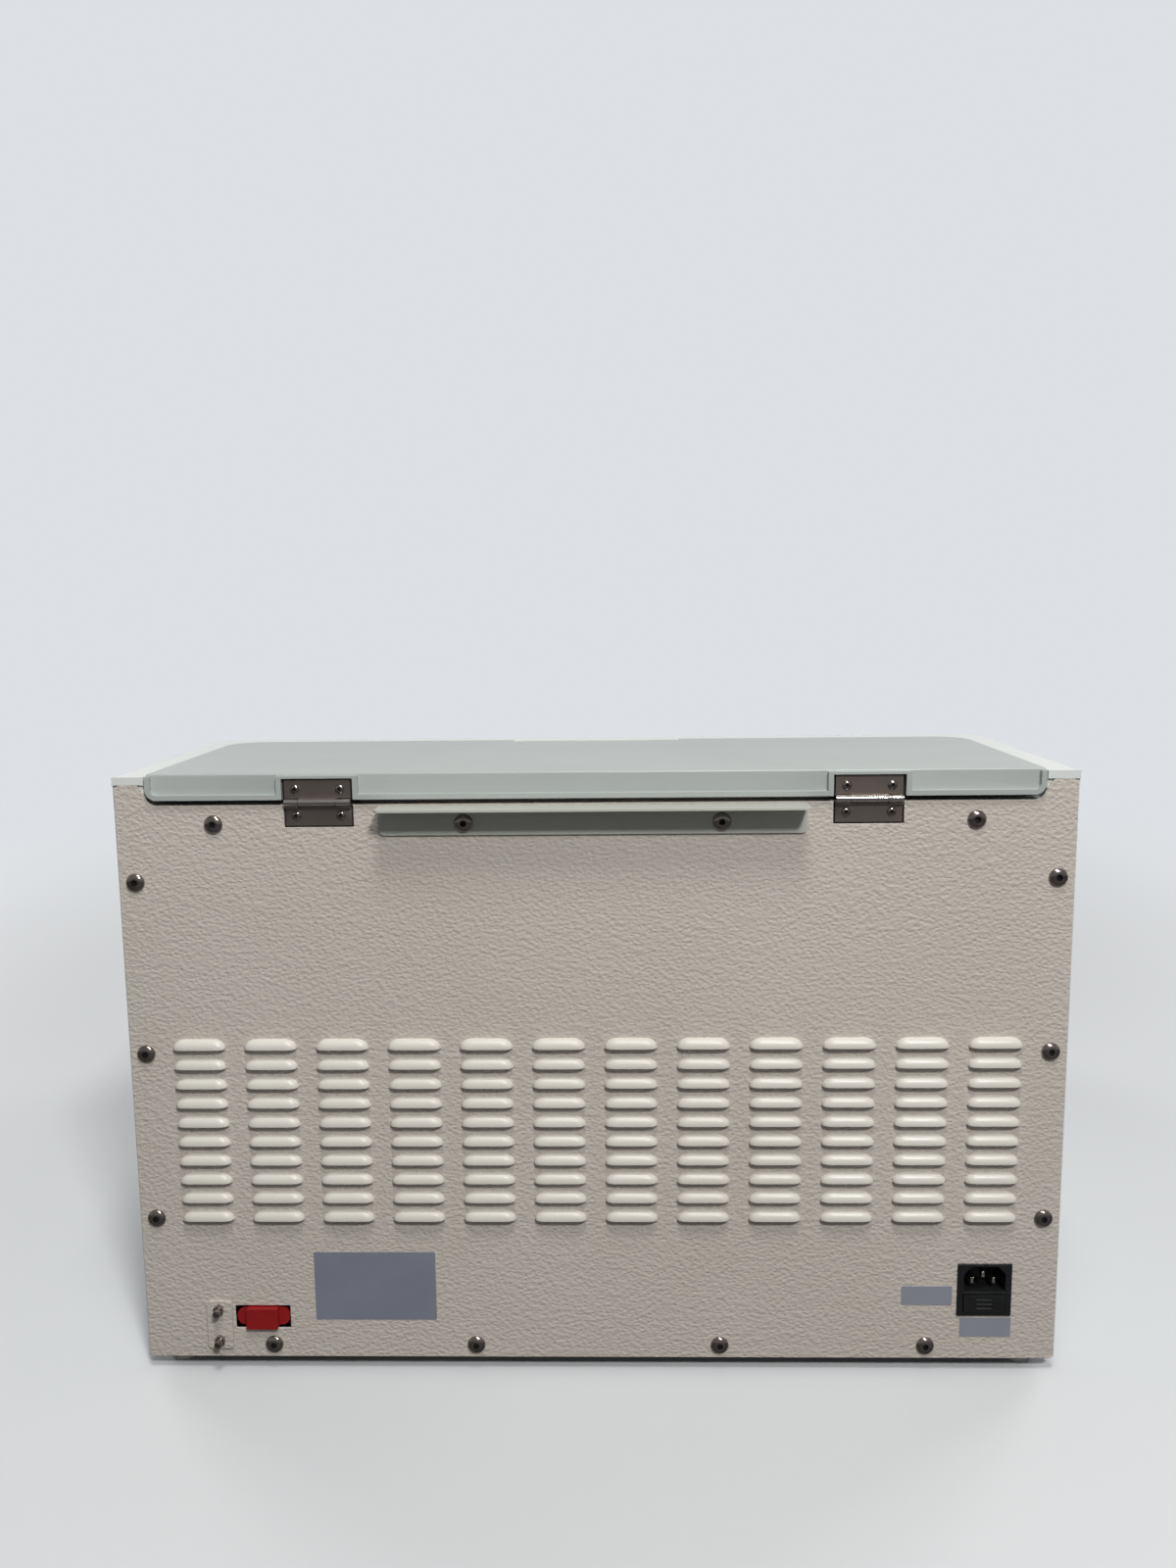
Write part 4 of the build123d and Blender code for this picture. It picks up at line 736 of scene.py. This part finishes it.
@dataclass
class Fasteners:
    """The button-head screws of the rear panel and the lid stop."""

    shop: Workshop
    head: float = mm(11.8)
    dome: float = mm(2.6)
    socket: float = mm(2.1)
    socket_depth: float = mm(1.7)
    side_inset: float = mm(11.3)
    side_heights: tuple[float, ...] = (mm(98.0), mm(210.4), mm(323.1))
    top_height: float = mm(359.9)
    top_inset: float = mm(62.7)
    bottom_height: float = mm(9.0)
    bottom_shares: tuple[float, ...] = (0.134, 0.3585)
    stop_inset: float = mm(52.8)
    stop_sheet: float = mm(1.5)
    floor_lift: float = mm(0.05)
    dome_shares: tuple[tuple[float, float], ...] = (
        (1.0, 0.0), (1.0, 0.25), (0.93, 0.5), (0.78, 0.76), (0.58, 0.93))
    land_share: float = 1.25
    rim_share: float = 0.97
    sharp_deg: float = 40.0

    def button_head(self) -> bpy.types.Mesh:
        """A domed head with a hexagon socket, standing out along +Y.

        Returns:
            The mesh, its underside's middle at the origin.
        """
        form = bmesh.new()
        steps = 24
        rings = [(self.head / 2 * r, self.dome * h) for r, h in self.dome_shares]
        rings.append((self.socket * self.land_share, self.dome))
        loops = []
        for r, h in rings:
            loops.append([form.verts.new((r * math.cos(2 * math.pi * i / steps), h,
                                          r * math.sin(2 * math.pi * i / steps))) for i in range(steps)])

        def hexagon(height: float) -> list[bmesh.types.BMVert]:
            """A ring of the socket's outline, with as many points as the dome's.

            Args:
                height: y of the ring.

            Returns:
                Its vertices, in order.
            """
            ring = []
            for i in range(steps):
                turn = 2 * math.pi * i / steps
                off = (turn % (math.pi / 3)) - math.pi / 6
                r = self.socket * math.cos(math.pi / 6) / math.cos(off)
                ring.append(form.verts.new((r * math.cos(turn), height, r * math.sin(turn))))
            return ring

        loops.append(hexagon(self.dome * self.rim_share))
        loops.append(hexagon(self.dome - self.socket_depth))
        for a, b in zip(loops, loops[1:]):
            for i in range(steps):
                j = (i + 1) % steps
                form.faces.new((a[i], a[j], b[j], b[i]))
        form.faces.new(loops[-1])
        form.faces.new(list(reversed(loops[0])))
        bmesh.ops.recalc_face_normals(form, faces=form.faces)
        return mesh_of(form, "button_head")

    def socket_floor(self) -> bpy.types.Mesh:
        """Painted shade in a socket: a dark disc just over the socket's own floor, where little light
        reaches.

        Returns:
            The mesh, the middle of the head's underside at the origin.
        """
        form = bmesh.new()
        height = self.dome - self.socket_depth + self.floor_lift
        corners = arc(0.0, 0.0, self.socket, range(0, 360, 60))
        form.faces.new([form.verts.new((x, height, z)) for x, z in corners])
        return mesh_of(form, "socket_floor")

    def spots(self) -> list[tuple[float, float, float]]:
        """Where the screws of the rear panel and the stop sit.

        Returns:
            The middle of each head's underside.
        """
        half = Span.of("side_panel_right").high.x
        base = Span.of("rear_panel").low.z
        face = Span.of("keeper_plate").low.y
        stop = Span.of("lid_stop_bracket").high.x
        spots = []
        for side in (1, -1):
            spots += [(side * (half - self.side_inset), face, base + h) for h in self.side_heights]
            spots.append((side * (half - self.top_inset), face, base + self.top_height))
            spots += [(side * 2 * half * share, face, base + self.bottom_height)
                      for share in self.bottom_shares]
            spots.append((side * (stop - self.stop_inset), face + self.stop_sheet, base + self.top_height))
        return spots

    def set_heads(self, node: str, spots: list[tuple[float, float, float]]) -> None:
        """Sets a head and its socket floor on every spot.

        Args:
            node: the CAD node that the heads stand for.
            spots: the middle of each head's underside.
        """
        # Each head gets a dark disc in its socket: painted shade.
        for part, shape, finish, stands in (("heads", self.button_head(), SCREW_STEEL, True),
                                            ("sockets", self.socket_floor(), DARK_VOID, False)):
            name = node + "_" + part
            mesh = copies_at(loose(name, shape), points_object(name + "_spots", spots), finish, name,
                             spin=math.pi / 3, seed=7)
            item = self.shop.piece(name, mesh, finish, self.sharp_deg)
            self.shop.seat(item, node, replaces=stands)

    def build(self) -> None:
        """Sets the heads of the rear panel and the stop."""
        self.set_heads("panel_screws", self.spots())


@dataclass
class Casework:
    """The outer shells, the base and the feet."""

    shop: Workshop

    def build(self) -> None:
        """Refines each shell."""
        for node in ("side_panel_left", "side_panel_right", "deck_cover", "upper_shell"):
            self.shop.refine(node, WHITE_COAT, 0.4)
        self.shop.refine("top_frame", WHITE_COAT, 0.8, 3)
        self.shop.refine("base_tray", STAINLESS, 0.0)
        self.shop.refine("feet", FOOT_RUBBER, 0.5)


@dataclass
class TankLid:
    """The lid with its seal and hinges, and the stop behind it."""

    shop: Workshop
    leaf_width: float = mm(41.5)
    knuckle: float = mm(9.0)
    knuckle_gap: float = mm(0.3)
    skin: float = mm(0.03)
    side_gap: float = mm(1.3)
    end_gap: float = mm(0.7)
    shade_sheet_step: float = mm(0.15)
    cad_head: float = mm(5.6)
    cad_rise: float = mm(1.3)
    spread: float = mm(28.0)

    def screw_spots(self, node: str) -> list[tuple[float, float, float]]:
        """Where the screws of one row of leaves sit.

        Args:
            node: the CAD node of the screws.

        Returns:
            The middle of each head's underside.
        """
        span = Span.of(node)
        outer = span.high.x - self.cad_head / 2
        return [(side * (outer - step), span.high.y - self.cad_rise, span.middle.z)
                for side in (1, -1) for step in (0.0, self.spread)]

    def pocket_shade(self, node: str, low: float, high: float) -> None:
        """Painted shade in the gap round both leaves of a row: a thin dark sheet behind them, where little
        light reaches.

        Args:
            node: the row of leaves.
            low: z of the dark sheet's lower edge.
            high: z of its upper edge.
        """
        span = Span.of(node)
        outer = span.high.x + self.side_gap
        inner = span.high.x - self.leaf_width - self.side_gap
        for side, hand in ((1, "right"), (-1, "left")):
            x0, x1 = sorted((side * inner, side * outer))
            name = node + "_shade_" + hand
            mesh = plate_mesh(name, rounded_box(x0, x1, low, high, mm(0.3), 2), [],
                              span.low.y + self.shade_sheet_step, self.shade_sheet_step / 2)
            self.shop.seat(self.shop.piece(name, mesh, DARK_VOID), node, False)

    def knuckles(self) -> None:
        """The polished faces of the three knuckles of each hinge, round its pin."""
        leaf, pin = Span.of("hinge_leaves_frame"), Span.of("hinge_pins")
        radius = leaf.high.y - pin.middle.y + self.skin
        form = bmesh.new()
        for side in (1, -1):
            start = leaf.high.x - self.leaf_width
            for length in (self.knuckle, self.leaf_width - 2 * self.knuckle, self.knuckle):
                middle = Vector((side * (start + length / 2), pin.middle.y, pin.middle.z))
                lie = Matrix.Translation(middle) @ Matrix.Rotation(math.pi / 2, 4, "Y")
                bmesh.ops.create_cone(form, cap_ends=True, segments=24, radius1=radius, radius2=radius,
                                      depth=length - self.knuckle_gap, matrix=lie)
                start += length
        item = self.shop.piece("hinge_knuckle_faces", mesh_of(form, "hinge_knuckle_faces"), KNUCKLE_STEEL)
        self.shop.seat(item, "hinge_leaves_frame", False)

    def build(self) -> None:
        """Refines the lid, its hinges and the stop."""
        self.knuckles()
        self.shop.refine("tank_lid", LID_ABS, 0.8, 3)
        self.shop.refine("lid_gasket", SEAL_RUBBER, 0.6)
        self.shop.refine("hinge_pins", HINGE_STEEL, 0.1)
        small = Fasteners(self.shop, head=mm(5.8), dome=mm(1.4), socket=mm(1.1), socket_depth=mm(1.0))
        for row in ("lid", "frame"):
            self.shop.refine("hinge_leaves_" + row, HINGE_STEEL, 0.2)
            small.set_heads("hinge_screws_" + row, self.screw_spots("hinge_screws_" + row))
        upper, lower = Span.of("hinge_leaves_lid"), Span.of("hinge_leaves_frame")
        lid = Span.of("tank_lid")
        # Dark sheets behind the hinge leaves: painted shade in the gaps round them.
        self.pocket_shade("hinge_leaves_lid", lid.low.z + self.shade_sheet_step, upper.high.z + self.end_gap)
        self.pocket_shade("hinge_leaves_frame", lower.low.z - self.side_gap, upper.low.z)
        self.shop.refine("lid_stop_bracket", STOP_PAINT, 0.4)


@dataclass
class Connections:
    """What the rear panel and the side carry near the base."""

    shop: Workshop
    plate_low: tuple[float, float] = (mm(106.2), mm(26.7))
    plate_size: tuple[float, float] = (mm(80.1), mm(47.5))
    fuse_label_low: tuple[float, float] = (mm(-270.4), mm(15.6))
    fuse_label_size: tuple[float, float] = (mm(33.1), mm(12.9))
    volt_label_low: tuple[float, float] = (mm(-231.7), mm(37.9))
    volt_label_size: tuple[float, float] = (mm(32.9), mm(12.8))
    foil: float = mm(0.3)

    def label(self, name: str, low: tuple[float, float], size: tuple[float, float], finish: Finish) -> None:
        """Sets a bare foil label on the rear panel.

        Args:
            name: the piece's name.
            low: x of its lower corner, and the corner's height over the panel's foot.
            size: its width and height.
            finish: its foil.
        """
        base = Span.of("rear_panel").low.z
        face = Span.of("keeper_plate").low.y
        x0, z0 = low[0], base + low[1]
        outline = rounded_box(x0, x0 + size[0], z0, z0 + size[1], mm(0.6), 3)
        mesh = plate_mesh(name, outline, [], face + self.foil, self.foil)
        item = self.shop.piece(name, mesh, finish)
        self.shop.seat(item, "rear_panel", replaces=False)

    def build(self) -> None:
        """Refines the sockets and sets the bare labels."""
        self.shop.refine("inlet_body", BLACK_NYLON, 0.4)
        self.shop.refine("inlet_blades", TINNED_BRASS, 0.3)
        self.shop.refine("fuse_drawer", BLACK_NYLON, 0.4)
        self.shop.refine("fuses", FUSE_CERAMIC, 0.3)
        self.shop.refine("footswitch_socket", BLACK_NYLON, 0.3)
        self.shop.refine("dust_cap", RED_PLASTIC, 0.6, 3)
        self.shop.refine("keeper_plate", CREAM_WRINKLE, 0.3)
        self.shop.refine("keeper_studs", SCREW_STEEL, 0.4)
        self.shop.refine("switch_body", BLACK_NYLON, 0.4)
        self.shop.refine("switch_rocker", WHITE_PLASTIC, 0.4)
        self.label("rating_plate_blank", self.plate_low, self.plate_size, LABEL_FOIL)
        self.label("fuse_label_blank", self.fuse_label_low, self.fuse_label_size, PALE_LABEL)
        self.label("inlet_label_blank", self.volt_label_low, self.volt_label_size, PALE_LABEL)


@dataclass
class DispenserHead:
    """The head over the work plate: controls, valve, nozzle and lever."""

    shop: Workshop

    def build(self) -> None:
        """Refines the head and what it carries."""
        self.shop.refine("nose_housing", WHITE_COAT, 1.2, 3)
        self.shop.refine("control_bezel", BLACK_NYLON, 0.4)
        self.shop.refine("display_glass", DISPLAY_GLASS, 0.3)
        for number in range(1, 5):
            self.shop.refine("push_key_%d" % number, KEY_PLASTIC, 0.5)
        self.shop.refine("valve_body", ANODISED, 0.5)
        self.shop.refine("valve_plunger", STAINLESS, 0.2)
        self.shop.refine("nozzle", STAINLESS, 0.3)
        self.shop.refine("dispenser_lever", STAINLESS, 0.4)
        self.shop.refine("lever_pin", STAINLESS, 0.2)
        self.shop.refine("flow_knob", BLACK_NYLON, 0.3)
        self.shop.refine("led_lamp", WHITE_PLASTIC, 0.6)


@dataclass
class WorkDeck:
    """The heated plate, the baths with their lids, the forceps wells and the drawers."""

    shop: Workshop

    def build(self) -> None:
        """Refines what stands on the deck and slides in its front."""
        self.shop.refine("work_plate", ANODISED, 0.4, smooth_deg=12.0)
        self.shop.refine("cold_plate", ANODISED, 0.3, smooth_deg=12.0)
        self.shop.refine("forceps_blocks", ANODISED, 0.3)
        for name in ("cassette_bath", "mould_warmer"):
            self.shop.refine(name + "_tub", DEEP_DRAWN, 0.4)
            self.shop.refine(name + "_lid", LID_ABS, 0.6)
        self.shop.refine("bath_hinge_ears", STAINLESS, 0.3)
        self.shop.refine("bath_hinge_pins", STAINLESS, 0.2)
        for side in ("left", "right"):
            self.shop.refine("waste_drawer_" + side, STOP_PAINT, 0.4)
        self.shop.refine("drawer_runners", STAINLESS, 0.2)


@dataclass
class Inside:
    """The tank with what heats and drains it, and the electronics."""

    shop: Workshop

    def build(self) -> None:
        """Refines the tank and what the shells hide."""
        self.shop.refine("paraffin_tank", DEEP_DRAWN, 0.4)
        self.shop.refine("tank_strainer", STAINLESS, 0.2)
        self.shop.refine("feed_tube", STAINLESS, 0.0)
        self.shop.refine("tank_insulation", FOAM, 1.0)
        self.shop.refine("heater_mats", SEAL_RUBBER, 0.2)
        self.shop.refine("power_supply", STAINLESS, 0.5)
        self.shop.refine("control_board", BOARD, 0.2)


@dataclass(frozen=True)
class Lamp:
    """A square lamp: where it hangs and what it points at, in metres, its side and its watts."""

    name: str
    place: tuple[float, float, float]
    target: tuple[float, float, float]
    size: float
    power: float


@dataclass
class Studio:
    """Floor, light and the camera where the photograph was taken from."""

    focal_px: float = 1259.8
    image_height_px: float = 1600.0
    film_mm: float = 36.0
    pitch_deg: float = 8.161
    yaw_deg: float = -1.31
    roll_deg: float = -0.622
    beside: float = mm(-14.8)
    behind: float = mm(756.0)
    above: float = mm(492.2)
    floor_size: float = 16.0
    fade_start: float = 0.7
    fade_end: float = 2.4
    wall: str = "#DDE0E4"
    bench: str = "#D9DBDC"
    bench_to_light: str = "#4A4A4C"
    ambient: float = 0.21
    gloss_behind: float = 0.30
    gloss_before: float = 0.70
    sky: str = "#EDEFF2"
    lamps: tuple[Lamp, ...] = (
        Lamp("rear_light", (-0.65, 2.1, 2.0), (0.0, 0.3, 0.2), 0.3, 37.0),
        Lamp("ceiling_light", (-0.1, 1.1, 2.35), (0.0, 0.25, 0.2), 0.5, 20.0),
        Lamp("front_light_left", (-2.2, -1.8, 1.1), (0.0, -0.1, 0.2), 1.2, 28.0),
        Lamp("front_light_right", (2.2, -1.8, 1.1), (0.0, -0.1, 0.2), 1.2, 28.0))

    def camera(self) -> None:
        """Places the camera behind the station, where the photograph was taken from."""
        pitch, yaw, roll = (math.radians(a) for a in (self.pitch_deg, self.yaw_deg, self.roll_deg))
        ahead = Vector((-math.sin(yaw) * math.cos(pitch), -math.cos(yaw) * math.cos(pitch), -math.sin(pitch)))
        right = Vector((-math.cos(yaw), math.sin(yaw), 0.0))
        down = ahead.cross(right)
        side = right * math.cos(roll) - down * math.sin(roll)
        fall = right * math.sin(roll) + down * math.cos(roll)
        turn = Matrix((side, -fall, -ahead)).transposed().to_4x4()
        data = bpy.data.cameras.new("photo_camera")
        data.sensor_width = self.film_mm
        data.lens = self.focal_px / self.image_height_px * self.film_mm
        view = bpy.data.objects.new("photo_camera", data)
        bpy.context.scene.collection.objects.link(view)
        panel = Span.of("rear_panel")
        face = Span.of("keeper_plate").low.y
        place = Vector((self.beside, face + self.behind, panel.low.z + self.above))
        view.matrix_world = Matrix.Translation(place) @ turn
        bpy.context.scene.camera = view

    def floor(self) -> None:
        """A pale floor, dark to the light, that turns into the wall's colour far from the object."""
        form = bmesh.new()
        bmesh.ops.create_grid(form, x_segments=1, y_segments=1, size=self.floor_size / 2)
        item = bpy.data.objects.new("floor", mesh_of(form, "floor"))
        bpy.context.scene.collection.objects.link(item)
        material = bpy.data.materials.new("pale_studio_floor")
        material.use_nodes = True
        tree = material.node_tree
        tree.nodes.clear()
        place = add(tree, "ShaderNodeTexCoord").outputs["Object"]
        distance = add(tree, "ShaderNodeVectorMath", {"operation": "LENGTH"}, {0: place})
        far = add(tree, "ShaderNodeMapRange", {"interpolation_type": "SMOOTHSTEP"}, {
            "Value": distance.outputs["Value"], "From Min": self.fade_start, "From Max": self.fade_end})
        seen = add(tree, "ShaderNodeLightPath").outputs["Is Camera Ray"]
        share = add(tree, "ShaderNodeMath", {"operation": "MULTIPLY"}, {0: far.outputs["Result"], 1: seen})
        bench = add(tree, "ShaderNodeMix", {"data_type": "RGBA"}, {
            0: seen, 6: linear(self.bench_to_light), 7: linear(self.bench)})
        matt = add(tree, "ShaderNodeBsdfPrincipled", inputs={
            "Base Color": bench.outputs[2], "Roughness": 0.7})
        wall = add(tree, "ShaderNodeEmission", inputs={"Color": linear(self.wall), "Strength": 1.0})
        blend = add(tree, "ShaderNodeMixShader", inputs={
            0: share.outputs[0], 1: matt.outputs["BSDF"], 2: wall.outputs["Emission"]})
        add(tree, "ShaderNodeOutputMaterial", inputs={"Surface": blend.outputs[0]})
        item.data.materials.append(material)

    def lights(self) -> None:
        """Two ceiling lamps over the rear, and one low on each side before the front."""
        for lamp in self.lamps:
            data = bpy.data.lights.new(lamp.name, "AREA")
            data.size = lamp.size
            data.energy = lamp.power
            item = bpy.data.objects.new(lamp.name, data)
            item.location = lamp.place
            aim = Vector(lamp.target) - Vector(lamp.place)
            item.rotation_euler = aim.to_track_quat("-Z", "Y").to_euler()
            bpy.context.scene.collection.objects.link(item)

    def surround(self) -> None:
        """The world: a pale wall to the camera, a faint light, and in gloss a room darker at the rear."""
        world = bpy.data.worlds.new("room")
        bpy.context.scene.world = world
        world.use_nodes = True
        tree = world.node_tree
        tree.nodes.clear()
        rays = add(tree, "ShaderNodeLightPath")
        clear = add(tree, "ShaderNodeMath", {"operation": "MAXIMUM"}, {
            0: rays.outputs["Is Camera Ray"], 1: rays.outputs["Is Transmission Ray"]})
        facing = add(tree, "ShaderNodeTexCoord").outputs["Generated"]
        heading = add(tree, "ShaderNodeSeparateXYZ", inputs={0: facing})
        room = add(tree, "ShaderNodeMapRange", {"interpolation_type": "SMOOTHSTEP"}, {
            "Value": heading.outputs["Y"], "From Min": -0.5, "From Max": 0.5,
            "To Min": self.gloss_before, "To Max": self.gloss_behind})
        level = add(tree, "ShaderNodeMix", {"data_type": "FLOAT"}, {
            0: rays.outputs["Is Glossy Ray"], 2: self.ambient, 3: room.outputs["Result"]})
        light = add(tree, "ShaderNodeBackground", inputs={
            "Color": linear(self.sky), "Strength": level.outputs[0]})
        wall = add(tree, "ShaderNodeBackground", inputs={"Color": linear(self.wall), "Strength": 1.0})
        blend = add(tree, "ShaderNodeMixShader", inputs={
            0: clear.outputs[0], 1: light.outputs[0], 2: wall.outputs[0]})
        add(tree, "ShaderNodeOutputWorld", inputs={"Surface": blend.outputs[0]})

    def build(self) -> None:
        """Sets up the whole studio."""
        bpy.context.scene.view_settings.view_transform = "Standard"
        self.camera()
        self.floor()
        self.lights()
        self.surround()


def main() -> None:
    """Builds every sub-assembly round the frame."""
    logging.basicConfig(level=logging.INFO, format="%(name)s: %(message)s")
    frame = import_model()
    shop = Workshop(frame)
    Studio().build()
    for assembly in (RearPanel, Fasteners, Casework, TankLid, Connections, DispenserHead, WorkDeck, Inside):
        assembly(shop).build()
        log.info("%s done", assembly.__name__)


if __name__ == "__main__":
    main()
